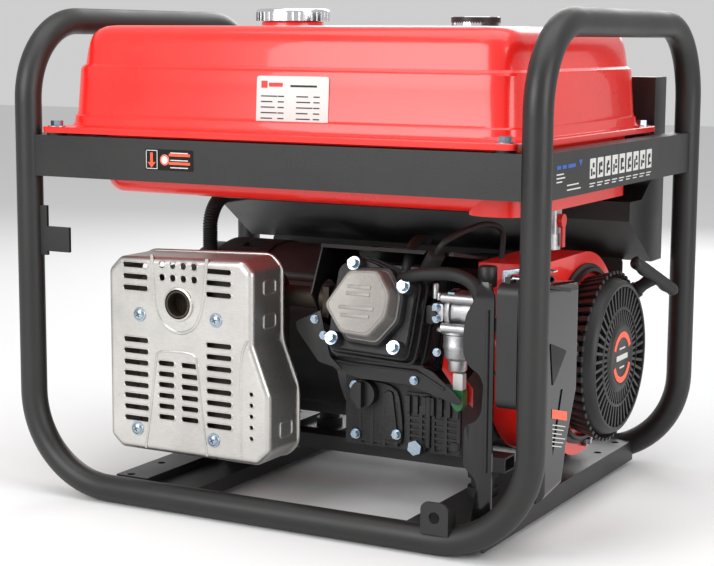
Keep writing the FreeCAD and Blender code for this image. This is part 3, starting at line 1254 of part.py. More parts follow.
def pilot_lamp():
    x, z = LAMP
    return fuse([rod(5, (x, FASCIA_Y - 14, z), (x, FACE_Y, z)), rod(7.5, (x, FACE_Y, z), (x, FACE_Y + 5, z))])


# ---------------------------------------------------------------- hoses and leads
def fuel_hose():
    x, y = TAP_AT
    start = (x, y - 22, SUMP_BOTTOM - 22)
    end = (BOWL_X + BOWL_R + 14, THROAT_Y, SPIGOT_Z)
    return hose("fuel_hose", [start, (x, y - 40, SUMP_BOTTOM - 22), (x - 2, y - 49, SUMP_BOTTOM - 48),
                              (x - 6, y - 51, SUMP_BOTTOM - 82), (x - 8, y - 53, SUMP_BOTTOM - 116),
                              (x - 9, y - 62, SUMP_BOTTOM - 138), (x - 11, THROAT_Y, SPIGOT_Z), end], 4.5)


def wiring_conduit():
    route = [(CONDUIT_X, CONDUIT_Y, CRANK_Z + 80), (CONDUIT_X, CONDUIT_Y, CONDUIT_TOP),
             (CONDUIT_X, PANEL_DEEP_Y + 2, CONDUIT_TOP)]
    return hose("wiring_conduit", route, CONDUIT_R)


def ignition_lead():
    start = PLUG_BASE + PLUG_AXIS * 60
    return hose("ignition_lead", [tuple(start), tuple(start + PLUG_AXIS * 14), (184, -150, 333),
                                  (190, -118, 340),
                                  (198, -80, 344), (206, -52, 334), (206, -52, DUCT_Z[1])], 3.5)


def breather_hose():
    start = lean_point(COVER_S + 30, BORE_X + 10, 39.75)
    up = lean_point(COVER_S + 30, BORE_X + 10, 60)
    return hose("breather_hose", [tuple(start), tuple(up), (132, -196, 331), (168, -180, 334),
                                  (210, -170, 326),
                                  (244, -168, 302), (258, -168, 287), (CLEANER_X[0], -168, 287)], 6)


def dipstick():
    x, z = OIL_AT
    cap = rod(16, (x, -143, z), (x, -131 - AIR, z))
    wing = box(x - 3, x + 3, -152, -143, z - 15, z + 15)
    shank = rod(OIL_R, (x, -131 - AIR, z), (x, -112, z))
    blade = rod(3, (x, -112, z), (x, -60, z))
    return fuse([cap, wing, shank, blade])


def drain_plug():
    x, z = DRAIN_AT
    return bolt(DRAIN_R, (x, -114, z), (x, -131.5, z), 8)


# ---------------------------------------------------------------- write the nodes
os.makedirs("parts", exist_ok=True)
near_rail, far_rail = floor_rail(-POST_Y), floor_rail(POST_Y)

save("left_hoop", hoops[-1])
save("right_hoop", hoops[1])
save("floor_frame", group([near_rail, far_rail, left_cross, right_cross, axle_bracket(-1), axle_bracket(1),
                           post_hook()]))
save("tank_beams", group([near_beam, far_beam, end_beams[-1], end_beams[1]]))
save("engine_rails", group([rail(RAIL_NEAR_Y), rail(RAIL_FAR_Y)]))
save("rubber_mounts", group([rubber_mount(x, y) for x, y in MOUNT_POINTS] + tank_washers()))
save("bolts", group([mount_stud(x, y) for x, y in MOUNT_POINTS] + tank_bolts() + cover_bolts()
                    + valve_cover_bolts() + [drain_plug()]))

save("cylinder_block", cylinder_block())
save("crankcase_cover", crankcase_cover())
save("bearings", group([bearing(COVER_X[0], JOURNAL_R, BEARING_R, BEARING_W),
                        bearing(CAVITY_X[1], JOURNAL_R, BEARING_R, BEARING_W), end_bearing()]))
save("crankshaft", crankshaft())
save("camshaft", camshaft())
save("piston", group([piston(), piston_pin()] + piston_rings()))
save("gaskets", group([head_gasket(), valve_cover_gasket()]))
save("cylinder_head", cylinder_head())
save("valve_cover", valve_cover())
save("spark_plug", spark_plug())
save("dipstick", dipstick())
save("head_shroud", head_shroud())

save("flywheel", group([flywheel(), starter_cup()]))
save("fan_shroud", fan_shroud())
save("recoil_housing", recoil_housing())
save("recoil_pulley", group([recoil_pulley(), recoil_rope()]))
save("pull_grip", pull_grip())

save("alternator_adapter", alternator_adapter())
save("stator_core", stator_core())
save("stator_windings", group(stator_windings()))
save("rotor", group([rotor()] + slip_rings()))
save("alternator_end_cover", alternator_end_cover())
save("alternator_cap", group([alternator_cap(), voltage_regulator(), brush_holder()]))

save("muffler_body", muffler_body())
save("exhaust_pipes", group([outlet_pipe(), exhaust_pipe()]))
save("muffler_shield", muffler_shield())
save("shield_screws", group(shield_screws()))

save("tank_upper", tank_upper())
save("tank_lower", tank_lower())
save("cap_insert", cap_insert())
save("fuel_cap", fuel_cap())
save("fuel_gauge", fuel_gauge())
save("fuel_tap", fuel_tap())
save("tap_lever", tap_lever())

save("carburettor", group([carb_spacer(), carburettor(), intake_elbow()]))
save("throttle_lever", lever(THROTTLE_X, 26, 21))
save("choke_lever", lever(CHOKE_X, 22, 25))
save("cleaner_housing", group([cleaner_housing()] + clip_pins()))
save("cleaner_cover", cleaner_cover())
save("cleaner_stay", cleaner_stay())
save("near_clip", cleaner_clip(CLIP_Y[0]))
save("far_clip", cleaner_clip(CLIP_Y[1]))
save("hoses_and_leads", group([fuel_hose(), wiring_conduit(), ignition_lead(), breather_hose()]))

save("panel_box", panel_box())
save("panel_fascia", fascia())
save("panel_fittings", group([socket(at, SOCKET_R) for at in SOCKETS] + [socket(BIG_SOCKET, BIG_SOCKET_R)]
                             + [breaker_body(at) for at in BREAKERS]
                             + [main_breaker(), voltmeter(), engine_switch(), dc_socket(), pilot_lamp(),
                                earth_stud()]))
for number, at in enumerate(SOCKETS, 1):
    save(f"socket_lid_{number}", socket_lid(at, SOCKET_R))
save("big_socket_lid", socket_lid(BIG_SOCKET, BIG_SOCKET_R))
for number, at in enumerate(BREAKERS, 1):
    save(f"breaker_button_{number}", breaker_button(at))
save("main_toggle", main_toggle())
save("switch_key", switch_key())
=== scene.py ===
import json
import math
import bmesh
import bpy
from mathutils import Matrix, Vector


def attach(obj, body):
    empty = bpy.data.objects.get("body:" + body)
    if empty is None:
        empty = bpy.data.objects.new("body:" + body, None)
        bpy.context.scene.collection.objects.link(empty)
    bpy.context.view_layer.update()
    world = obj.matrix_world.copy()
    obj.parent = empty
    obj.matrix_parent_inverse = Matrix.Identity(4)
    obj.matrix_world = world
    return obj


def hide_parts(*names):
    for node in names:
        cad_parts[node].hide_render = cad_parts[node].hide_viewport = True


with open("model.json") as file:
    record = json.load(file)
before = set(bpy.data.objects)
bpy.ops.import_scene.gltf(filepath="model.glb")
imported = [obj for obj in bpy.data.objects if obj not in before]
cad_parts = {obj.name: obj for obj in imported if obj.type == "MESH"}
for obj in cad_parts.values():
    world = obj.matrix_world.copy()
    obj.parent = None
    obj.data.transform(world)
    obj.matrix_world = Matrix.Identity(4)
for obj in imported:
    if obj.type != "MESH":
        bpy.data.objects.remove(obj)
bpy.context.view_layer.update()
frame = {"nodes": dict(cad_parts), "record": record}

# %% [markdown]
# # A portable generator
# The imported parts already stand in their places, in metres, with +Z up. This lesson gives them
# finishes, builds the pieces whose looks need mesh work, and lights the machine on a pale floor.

nodes = frame["nodes"]

# %% [markdown]
# ## Camera
# The machine is seen from its muffler side, a little from the starter's end and from just above the
# tank. A long lens keeps the uprights nearly parallel. The direction is given as a yaw, a pitch and
# a small roll, and the camera's matrix is built from its right, up and back vectors.

# %% Camera
EYE = Vector((0.9959, -1.8719, 0.5559))
YAW, PITCH, ROLL = (math.radians(a) for a in (28.34, 8.18, 0.35))
ahead = Vector((-math.sin(YAW) * math.cos(PITCH), math.cos(YAW) * math.cos(PITCH), -math.sin(PITCH)))
level = Vector((math.cos(YAW), math.sin(YAW), 0))
lift = level.cross(ahead)
right = level * math.cos(ROLL) + lift * math.sin(ROLL)
up = lift * math.cos(ROLL) - level * math.sin(ROLL)
camera = bpy.data.objects.new("camera", bpy.data.cameras.new("camera"))
camera.data.lens = 86.05
camera.data.sensor_width = 36.0
camera.data.clip_end = 50
camera.matrix_world = Matrix.Translation(EYE) @ Matrix((right, up, -ahead)).transposed().to_4x4()
bpy.context.scene.collection.objects.link(camera)
bpy.context.scene.camera = camera
print("camera at", tuple(round(v, 3) for v in EYE))

# %% [markdown]
# ## Light and floor
# A product studio: a white room, one wide softbox overhead, a key light beside the camera, a
# softbox behind the machine for the edge of the tubes and a fill on the right. Wide lights give the
# glossy tank the soft streaks that tell its shape.

# %% Softboxes
def softbox(name, at, aim, size, watts):
    data = bpy.data.lights.new(name, "AREA")
    data.shape, data.size, data.size_y, data.energy = "RECTANGLE", size[0], size[1], watts
    lamp = bpy.data.objects.new(name, data)
    lamp.location = at
    lamp.rotation_euler = (Vector(aim) - Vector(at)).to_track_quat("-Z", "Y").to_euler()
    bpy.context.scene.collection.objects.link(lamp)


softbox("overhead", (0.2, -0.3, 2.3), (0, 0, 0.3), (2.6, 1.8), 30)
softbox("key", (-0.6, -2.4, 1.3), (0, 0, 0.3), (1.5, 1.5), 38)
softbox("right_fill", (2.4, -0.7, 1.0), (0.1, 0, 0.3), (1.0, 1.6), 22)
softbox("back", (-0.6, 2.4, 1.5), (0, 0, 0.35), (1.8, 1.4), 26)

# %% White room and pale floor
world = bpy.data.worlds.new("studio")
world.use_nodes = True
world.node_tree.nodes["Background"].inputs[0].default_value = (1, 1, 1, 1)
world.node_tree.nodes["Background"].inputs[1].default_value = 0.62
bpy.context.scene.world = world
bpy.context.scene.view_settings.view_transform = "Standard"
floor_mesh = bpy.data.meshes.new("floor")
floor_mesh.from_pydata([(-9, -9, -0.0005), (9, -9, -0.0005), (9, 9, -0.0005), (-9, 9, -0.0005)], [],
                       [(0, 1, 2, 3)])
floor = bpy.data.objects.new("floor", floor_mesh)
bpy.context.scene.collection.objects.link(floor)
print("floor ready")

# %% [markdown]
# ## Arithmetic on sockets
# Node trees for shaders and for geometry are both built from the same two ideas. A `Channel` wraps
# an output socket and turns `+ - * /` into Math nodes. `Graph.node` adds any other node: its type,
# its settings, which are set first because they change the sockets, and then its inputs.

# %% Channel and Graph
def feed(tree, socket, value):
    if isinstance(value, Channel):
        tree.links.new(value.socket, socket)
    elif socket.type == "RGBA" and not isinstance(value, str) and len(value) == 3:
        socket.default_value = (*value, 1)
    else:
        socket.default_value = value


class Channel:
    """An output socket that can be used in arithmetic."""
    def __init__(self, graph, socket):
        self.graph, self.socket = graph, socket

    def out(self, name):
        return Channel(self.graph, self.socket.node.outputs[name])

    def maths(self, operation, *values):
        return self.graph.node("ShaderNodeMath", {"operation": operation}, dict(enumerate(values)))

    def __add__(self, other): return self.maths("ADD", self, other)
    def __sub__(self, other): return self.maths("SUBTRACT", self, other)
    def __mul__(self, other): return self.maths("MULTIPLY", self, other)
    def __truediv__(self, other): return self.maths("DIVIDE", self, other)
    def __radd__(self, other): return self.maths("ADD", other, self)
    def __rsub__(self, other): return self.maths("SUBTRACT", other, self)
    def __rmul__(self, other): return self.maths("MULTIPLY", other, self)
    def __rtruediv__(self, other): return self.maths("DIVIDE", other, self)
    def __gt__(self, other): return self.maths("GREATER_THAN", self, other)
    def __lt__(self, other): return self.maths("LESS_THAN", self, other)
    def __abs__(self): return self.maths("ABSOLUTE", self)


class Graph:
    """A node tree that is written as expressions."""
    def __init__(self, tree):
        self.tree = tree

    def node(self, kind, settings=None, inputs=None):
        made = self.tree.nodes.new(kind)
        for key, value in (settings or {}).items():
            if key == "stops":
                while len(made.color_ramp.elements) < len(value):
                    made.color_ramp.elements.new(0.5)
                for element, (place, colour) in zip(made.color_ramp.elements, value):
                    element.position, element.color = place, (*colour, 1)
            else:
                setattr(made, key, value)
        for key, value in (inputs or {}).items():
            feed(self.tree, made.inputs[key], value)
        return Channel(self, next((s for s in made.outputs if s.enabled), None)) if made.outputs else made


print("graph helpers ready")

# %% [markdown]
# ## Finishes
# Every finish starts from one Principled shader. Noise in object coordinates gives each its grain:
# the orange peel of paint, the pebble of a casting, the streaks of rolled steel. Sizes are in metres,
# so a scale of 900 is a grain of about a millimetre.

# %% The finish class
class Finish(Graph):
    """A material with a Principled shader and a few patterns on object coordinates."""
    def __init__(self, name, **fixed):
        self.material = bpy.data.materials.new(name)
        self.material.use_nodes = True
        super().__init__(self.material.node_tree)
        self.shader = self.tree.nodes["Principled BSDF"]
        self.place = self.node("ShaderNodeTexCoord").out("Object")
        self.set(**fixed)

    def set(self, **values):
        for key, value in values.items():
            feed(self.tree, self.shader.inputs[key.replace("_", " ")], value)
        return self

    def stretched(self, x, y, z):
        return self.node("ShaderNodeMapping", {}, {"Vector": self.place, "Scale": (x, y, z)})

    def noise(self, scale, detail=3.0, rough=0.55, at=None):
        return self.node("ShaderNodeTexNoise", {}, {"Vector": at or self.place, "Scale": scale,
                                                    "Detail": detail, "Roughness": rough})

    def pebble(self, scale):
        return self.node("ShaderNodeTexVoronoi", {"feature": "SMOOTH_F1"},
                         {"Vector": self.place, "Scale": scale})

    def span(self, value, low, high, start=0.0, end=1.0):
        return self.node("ShaderNodeMapRange", {}, {0: value, 1: low, 2: high, 3: start, 4: end})

    def mix(self, factor, one, other):
        return self.node("ShaderNodeMix", {"data_type": "RGBA"}, {0: factor, 6: one, 7: other})

    def bump(self, height, distance, strength=1.0):
        return self.node("ShaderNodeBump", {}, {"Height": height, "Distance": distance, "Strength": strength})


def mixed(finish, factor, one, other):
    made = finish.mix(factor, one, other)
    return Channel(finish, made.socket.node.outputs[2])


finishes = {}
print("finish class ready")

# %% [markdown]
# ## Paints
# The tubes have a satin powder coat: near black, with a fine pebbled skin and a faint bloom where dust
# dulls it. The tank and the fan's housing are enamel under a clear coat, whose orange peel is only
# visible in the reflections.

# %% Powder coat, sheet black, enamel
def paint(name, dark, light, rough, grain, depth, coat=0.0):
    m = Finish(name, Specular_IOR_Level=0.5)
    cloud = m.noise(9, 4)
    fine = m.noise(grain, 2)
    m.set(Base_Color=mixed(m, m.span(cloud, 0.35, 0.7), dark, light),
          Roughness=m.span(cloud, 0.3, 0.7, *rough),
          Normal=m.bump(fine, depth))
    if coat:
        m.shader.inputs["Coat Weight"].default_value = coat
        m.shader.inputs["Coat Roughness"].default_value = 0.04
    finishes[name] = m.material
    return m


paint("frame_black", (0.0095, 0.0092, 0.0090), (0.0150, 0.0145, 0.0140), (0.36, 0.50), 750, 0.00018)
paint("sheet_black", (0.0080, 0.0080, 0.0080), (0.0130, 0.0128, 0.0125), (0.30, 0.44), 600, 0.00012)
paint("tank_red", (0.80, 0.012, 0.008), (0.88, 0.020, 0.012), (0.26, 0.33), 260, 0.00006, 0.45)
paint("shroud_red", (0.76, 0.012, 0.008), (0.84, 0.018, 0.011), (0.28, 0.36), 300, 0.00006, 0.4)
print("paints:", list(finishes))

# %% [markdown]
# ## Metals
# Castings keep the texture of their mould, so two grains are mixed: a coarse pebble and a fine one.
# Rolled and drawn steel is smoother, with long faint streaks. The muffler's shell has straw and brown
# heat tints, and the laminated stator shows its sheets as fine rings along X.

# %% Castings and steels
def metal(name, dark, light, rough, metallic=1.0, grain=400, depth=0.00015, stretch=(1, 1, 1), cast=0.0):
    m = Finish(name, Metallic=metallic)
    at = m.stretched(*stretch)
    fine = m.noise(grain, 3, 0.6, at)
    cloud = m.noise(14, 4, 0.6)
    height = fine + m.pebble(grain * 0.9) * cast if cast else fine
    m.set(Base_Color=mixed(m, m.span(cloud * 0.6 + fine * 0.4, 0.35, 0.65), dark, light),
          Roughness=m.span(fine, 0.3, 0.7, *rough), Normal=m.bump(height, depth))
    finishes[name] = m.material
    return m


metal("cast_dark", (0.016, 0.016, 0.017), (0.040, 0.040, 0.042), (0.45, 0.62), 0.35, 420, 0.00035, cast=0.8)
metal("cast_grey", (0.24, 0.225, 0.21), (0.34, 0.32, 0.30), (0.42, 0.56), 0.55, 520, 0.00025, cast=0.6)
metal("cast_bright", (0.42, 0.42, 0.43), (0.62, 0.62, 0.63), (0.34, 0.50), 0.9, 520, 0.00022, cast=0.5)
metal("zinc_bolt", (0.27, 0.36, 0.46), (0.46, 0.54, 0.60), (0.20, 0.34), 1.0, 900, 0.00003)
metal("machined_steel", (0.42, 0.42, 0.43), (0.56, 0.56, 0.57), (0.22, 0.34), 1.0, 160, 0.00003, (1, 14, 14))
metal("stamped_steel", (0.50, 0.485, 0.46), (0.66, 0.645, 0.615), (0.27, 0.38), 0.92, 210, 0.00004, (1, 1, 7))
metal("exhaust_steel", (0.035, 0.030, 0.026), (0.090, 0.068, 0.050), (0.42, 0.60), 0.7, 300, 0.0001)
metal("iron", (0.045, 0.045, 0.047), (0.085, 0.083, 0.080), (0.45, 0.60), 0.7, 90, 0.0002, (22, 1, 1))
metal("copper", (0.28, 0.075, 0.022), (0.46, 0.150, 0.050), (0.24, 0.36), 0.9, 130, 0.0004, (1, 9, 9))
metal("chrome", (0.72, 0.72, 0.74), (0.82, 0.82, 0.84), (0.07, 0.14), 1.0, 60, 0.00001)
print("finishes so far:", len(finishes))

# %% [markdown]
# ## Plastics and rubber
# Moulded plastic has a fine spark-eroded grain, glossy covers almost none. Rubber is darker in its
# hollows and chalky on top, which a slow noise in the colour gives.

# %% Plastics
def plastic(name, colour, rough, grain=1100, depth=0.00006, worn=1.35):
    m = Finish(name)
    cloud = m.noise(22, 4)
    light = tuple(min(1.0, c * worn + 0.001) for c in colour)
    m.set(Base_Color=mixed(m, m.span(cloud, 0.35, 0.7), colour, light),
          Roughness=m.span(cloud, 0.3, 0.7, *rough),
          Normal=m.bump(m.noise(grain, 2), depth))
    finishes[name] = m.material
    return m


plastic("black_plastic", (0.012, 0.012, 0.0122), (0.38, 0.50))
plastic("gloss_black", (0.0045, 0.0045, 0.0048), (0.10, 0.18), 500, 0.00001)
plastic("rubber", (0.010, 0.010, 0.010), (0.55, 0.72), 700, 0.0001)
plastic("gasket", (0.035, 0.033, 0.030), (0.6, 0.75))
plastic("red_plastic", (0.55, 0.012, 0.010), (0.22, 0.32))
plastic("orange_plastic", (0.85, 0.085, 0.030), (0.30, 0.42))
plastic("blue_plastic", (0.015, 0.075, 0.34), (0.28, 0.40))
plastic("green_plastic", (0.010, 0.14, 0.035), (0.30, 0.42))
plastic("white_label", (0.62, 0.62, 0.60), (0.35, 0.45), worn=1.06)
plastic("ivory_plastic", (0.46, 0.44, 0.38), (0.38, 0.5), worn=1.1)
print("finishes:", len(finishes))

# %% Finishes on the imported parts
for part in frame["record"]["subparts"]:
    mesh = nodes[part["node"]].data
    mesh.materials.clear()
    mesh.materials.append(finishes[part["material_slot"]])

# %% [markdown]
# ## Making pieces
# A piece is drawn in a bmesh, given its finish, and hung on the body that it moves with. Three shapes
# do most of the work: a `turned` shape, whose profile goes round an axis as on a lathe, a `drawn`
# shape, whose round section follows a path as a tube or a bead does, and a `slab`, a flat outline
# given a thickness with eased edges.

# %% Hanging a piece on its body
MM = 0.001


def piece(name, bm, finish, body="generator", stands_for=(), crease=38):
    bmesh.ops.remove_doubles(bm, verts=bm.verts, dist=1e-6)
    bmesh.ops.recalc_face_normals(bm, faces=bm.faces)
    mesh = bpy.data.meshes.new(name)
    bm.to_mesh(mesh)
    bm.free()
    return hang(name, mesh, finish, body, stands_for, crease)


def hang(name, mesh, finish, body="generator", stands_for=(), crease=38):
    mesh.materials.clear()
    mesh.materials.append(finishes[finish])
    mesh.polygons.foreach_set("use_smooth", [True] * len(mesh.polygons))
    mesh.set_sharp_from_angle(angle=math.radians(crease))
    made = bpy.data.objects.new(name, mesh)
    bpy.context.scene.collection.objects.link(made)
    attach(made, body)
    if stands_for:
        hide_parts(*stands_for)
    print(f"{name}: {len(mesh.polygons)} faces on {body}")
    return made


# %% Turned, drawn and slab shapes, all in millimetres
def skin(bm, rows, closed_rows=True, closed_loop=False, capped=False):
    made = [[bm.verts.new(Vector(p) * MM) for p in row] for row in rows]
    pairs = list(zip(made, made[1:])) + ([(made[-1], made[0])] if closed_loop else [])
    for one, other in pairs:
        count = len(one)
        for i in range(count if closed_rows else count - 1):
            j = (i + 1) % count
            try:
                bm.faces.new((one[i], one[j], other[j], other[i]))
            except ValueError:
                pass
    if capped:
        bm.faces.new(list(reversed(made[0])))
        bm.faces.new(made[-1])
    return bm


def frame_of(axis):
    axis = Vector(axis).normalized()
    side = axis.cross(Vector((0.31, 0.17, 0.93))).normalized()
    return axis, side, axis.cross(side).normalized()


def turned(bm, profile, at, axis, steps=48, closed=False):
    """profile: (radius, along) pairs; an end with radius 0 closes itself."""
    axis, side, other = frame_of(axis)
    at = Vector(at)
    rows = []
    for radius, along in profile:
        turns = [2 * math.pi * i / steps for i in range(steps)]
        rows.append([at + axis * along + (side * math.cos(t) + other * math.sin(t)) * max(radius, 1e-4)
                     for t in turns])
    return skin(bm, rows, True, closed)


def drawn(bm, path, radius, steps=10, closed=False):
    """A round section along a path; radius may be a list, one for each point."""
    path = [Vector(p) for p in path]
    count = len(path)
    radii = radius if isinstance(radius, list) else [radius] * count
    rows, side = [], None
    for i, here in enumerate(path):
        before = path[i - 1] if i or closed else path[0]
        after = path[(i + 1) % count] if i + 1 < count or closed else path[-1]
        axis = (after - before).normalized()
        side = frame_of(axis)[1] if side is None else (side - axis * side.dot(axis)).normalized()
        other = axis.cross(side)
        rows.append([here + (side * math.cos(t) + other * math.sin(t)) * radii[i]
                     for t in (2 * math.pi * k / steps for k in range(steps))])
    return skin(bm, rows, True, closed, not closed)


def slab(bm, outline, thick, ease=0.0, steps=2):
    """A flat outline of points given a thickness vector, with its edges eased."""
    low = [bm.verts.new(Vector(p) * MM) for p in outline]
    high = [bm.verts.new((Vector(p) + Vector(thick)) * MM) for p in outline]
    faces = [bm.faces.new(low), bm.faces.new(list(reversed(high)))]
    for i in range(len(low)):
        j = (i + 1) % len(low)
        faces.append(bm.faces.new((low[j], low[i], high[i], high[j])))
    if ease:
        edges = list({e for f in faces for e in f.edges})
        bmesh.ops.bevel(bm, geom=edges, offset=ease * MM, segments=steps, profile=0.6, affect="EDGES")
    return bm


def rounded(points, radius, steps=5):
    """A closed loop of points with each corner turned into an arc."""
    points = [Vector(p) for p in points]
    loop = []
    for i, here in enumerate(points):
        back = (points[i - 1] - here)
        on = (points[(i + 1) % len(points)] - here)
        reach = min(radius, back.length * 0.45, on.length * 0.45)
        start, end = here + back.normalized() * reach, here + on.normalized() * reach
        for k in range(steps + 1):
            t = k / steps
            loop.append(start * (1 - t) ** 2 + here * 2 * t * (1 - t) + end * t * t)
    return loop


def standing(x0, x1, z0, z1, y, radius):
    """A rounded rectangle that faces along Y."""
    return rounded([(x0, y, z0), (x1, y, z0), (x1, y, z1), (x0, y, z1)], radius)


def lying(x0, x1, y0, y1, z, radius):
    """A rounded rectangle that faces up."""
    return rounded([(x0, y0, z), (x1, y0, z), (x1, y1, z), (x0, y1, z)], radius)


def smoothed(points, steps=8):
    """A smooth open path through the points."""
    points = [Vector(p) for p in points]
    run = [points[0] * 2 - points[1]] + points + [points[-1] * 2 - points[-2]]
    path = []
    for a, b, c, d in zip(run, run[1:], run[2:], run[3:]):
        for k in range(steps):
            t = k / steps
            path.append(0.5 * (2 * b + (c - a) * t + (2 * a - 5 * b + 4 * c - d) * t * t
                               + (3 * b - a - 3 * c + d) * t ** 3))
    return path + [points[-1]]


print("shapes ready")

# %% [markdown]
# ## Pattern trees
# What repeats is made by Geometry Nodes. One tree puts a hexagon bolt with its washer on every point
# of a cloud, turned along the point's own direction. Its sizes are named inputs, so the same tree
# makes M6 bolts on the engine and small screws on the carburettor and the air plates.

# %% A tree helper
class Pattern(Graph):
    """A geometry tree with named inputs that ends in Realize Instances and Set Material."""
    def __init__(self, name, **sizes):
        tree = bpy.data.node_groups.new(name, "GeometryNodeTree")
        tree.interface.new_socket("Geometry", in_out="INPUT", socket_type="NodeSocketGeometry")
        tree.interface.new_socket("Geometry", in_out="OUTPUT", socket_type="NodeSocketGeometry")
        for key, value in sizes.items():
            kind = "NodeSocketInt" if isinstance(value, int) else "NodeSocketFloat"
            socket = tree.interface.new_socket(key.replace("_", " "), in_out="INPUT", socket_type=kind)
            socket.default_value = value
        super().__init__(tree)
        self.start = self.node("NodeGroupInput")
        self.finish_socket = tree.nodes.new("NodeGroupOutput").inputs[0]

    def size(self, name):
        return Channel(self, self.start.socket.node.outputs[name.replace("_", " ")])

    def end(self, geometry, finish):
        real = self.node("GeometryNodeRealizeInstances", {}, {0: geometry})
        feed(self.tree, self.finish_socket, self.node("GeometryNodeSetMaterial", {},
                                                      {0: real, "Material": finishes[finish]}))
        return self

    def vector(self, x, y, z):
        return self.node("ShaderNodeCombineXYZ", {}, {0: x, 1: y, 2: z})

    def join(self, *parts):
        made = self.tree.nodes.new("GeometryNodeJoinGeometry")
        for part in parts:
            self.tree.links.new(part.socket, made.inputs[0])
        return Channel(self, made.outputs[0])

    def moved(self, geometry, at, turn=(0, 0, 0)):
        return self.node("GeometryNodeTransform", {}, {"Geometry": geometry, "Translation": at,
                                                       "Rotation": turn})


def grown(name, pattern, base, finish, body="generator", stands_for=(), crease=38, **sizes):
    """Run a pattern on a base mesh and keep the plain result."""
    host = bpy.data.objects.new(name + "_host", base)
    bpy.context.scene.collection.objects.link(host)
    modifier = host.modifiers.new("pattern", "NODES")
    modifier.node_group = pattern.tree
    for item in pattern.tree.interface.items_tree:
        if item.in_out == "INPUT" and item.name.replace(" ", "_") in sizes:
            modifier[item.identifier] = sizes[item.name.replace(" ", "_")]
    bpy.context.view_layer.update()
    evaluated = host.evaluated_get(bpy.context.evaluated_depsgraph_get())
    mesh = bpy.data.meshes.new_from_object(evaluated)
    mesh.name = name
    host.modifiers.remove(modifier)
    bpy.data.objects.remove(host)
    return hang(name, mesh, finish, body, stands_for, crease)


def cloud(places):
    """A mesh of loose points, each with the direction that a part on it should face."""
    mesh = bpy.data.meshes.new("points")
    mesh.from_pydata([Vector(at) * MM for at, facing in places], [], [])
    facing = mesh.attributes.new("facing", "FLOAT_VECTOR", "POINT")
    for item, (at, way) in zip(facing.data, places):
        item.vector = Vector(way).normalized()
    return mesh


# %% Bolts with washers
def on_points(tree, shape):
    way = tree.node("GeometryNodeInputNamedAttribute", {"data_type": "FLOAT_VECTOR"}, {"Name": "facing"})
    turn = tree.node("FunctionNodeAlignEulerToVector", {"axis": "Z"}, {"Vector": way})
    return tree.node("GeometryNodeInstanceOnPoints", {}, {"Points": tree.size("Geometry"), "Instance": shape,
                                                          "Rotation": turn})


def cylinder(tree, sides, radius, height):
    return tree.node("GeometryNodeMeshCylinder", {}, {"Vertices": sides, "Radius": radius, "Depth": height})


bolts = Pattern("hexagon_bolts", Across=0.010, Height=0.006, Washer=0.008)
head = cylinder(bolts, 6, bolts.size("Across") * 0.577, bolts.size("Height"))
crown = cylinder(bolts, 16, bolts.size("Across") * 0.44, 0.0006)
washer = cylinder(bolts, 24, bolts.size("Washer"), 0.0016)
tall = bolts.size("Height")
stack = bolts.join(bolts.moved(washer, bolts.vector(0, 0, 0.0008)),
                   bolts.moved(head, bolts.vector(0, 0, tall * 0.5 + 0.0016)),
                   bolts.moved(crown, bolts.vector(0, 0, tall + 0.0018)))
bolts.end(on_points(bolts, stack), "zinc_bolt")
print("bolt tree ready")

# %% [markdown]
# ## The muffler's shield
# The shield is one pressing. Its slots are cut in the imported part; the press also leaves raised rims
# round every slot, a horseshoe round the outlet, a tapering panel below it and a rolled edge at the
# back. The rims repeat, so a pattern draws them; the long beads are drawn along their own paths.

# %% Rims round the slots
FACE = -240.0
rims = Pattern("slot_rims", Length=0.035, Height=0.006, Wire=0.0009)
loop = rims.node("GeometryNodeCurvePrimitiveQuadrilateral", {"mode": "RECTANGLE"},
                 {"Width": rims.size("Length") + 0.0012, "Height": rims.size("Height") + 0.0012})
loop = rims.node("GeometryNodeFilletCurve", {"mode": "POLY"}, {"Curve": loop, "Count": 5,
                                                               "Radius": rims.size("Height") * 0.5})
wire = rims.node("GeometryNodeCurvePrimitiveCircle", {}, {"Resolution": 6, "Radius": rims.size("Wire")})
rim = rims.node("GeometryNodeCurveToMesh", {}, {"Curve": loop, "Profile Curve": wire})
rims.end(on_points(rims, rim), "stamped_steel")


def slot_rims(name, centres, length, height):
    base = cloud([((x, FACE + 0.1, z), (0, -1, 0)) for x, z in centres])
    return grown(name, rims, base, "stamped_steel", Length=length * MM, Height=height * MM)


PITCH = 13.6
side_slots = [(-181.5, 289 - PITCH * i) for i in range(3)] + [(-181.5, 199.7 - PITCH * i) for i in range(8)]
side_slots += [(-65.0, 289 - PITCH * i) for i in range(3)] + [(-65.0, 202.5 - PITCH * i) for i in range(8)]
slot_rims("shield_side_rims", side_slots, 35, 6)
slot_rims("shield_middle_rims", [(x, 175 - 12.9 * i) for x in (-138.5, -105.5) for i in range(6)], 23.5, 6)
slot_rims("shield_hole_rims", [(-143.5 + 15 * i, 292 - 15 * j) for i in range(4) for j in range(2)], 8, 8)
slot_rims("shield_small_rims", [(-21, 150 - 13 * i) for i in range(5)], 5, 5)

# %% Pressed beads and the rolled edge
def bead(bm, points, radius, closed=False):
    """A bead half sunk in the shield's face."""
    path = [(x, FACE + radius * 0.25, z) for x, z in points]
    return drawn(bm, path if closed else smoothed(path, 6), radius, 8, closed)


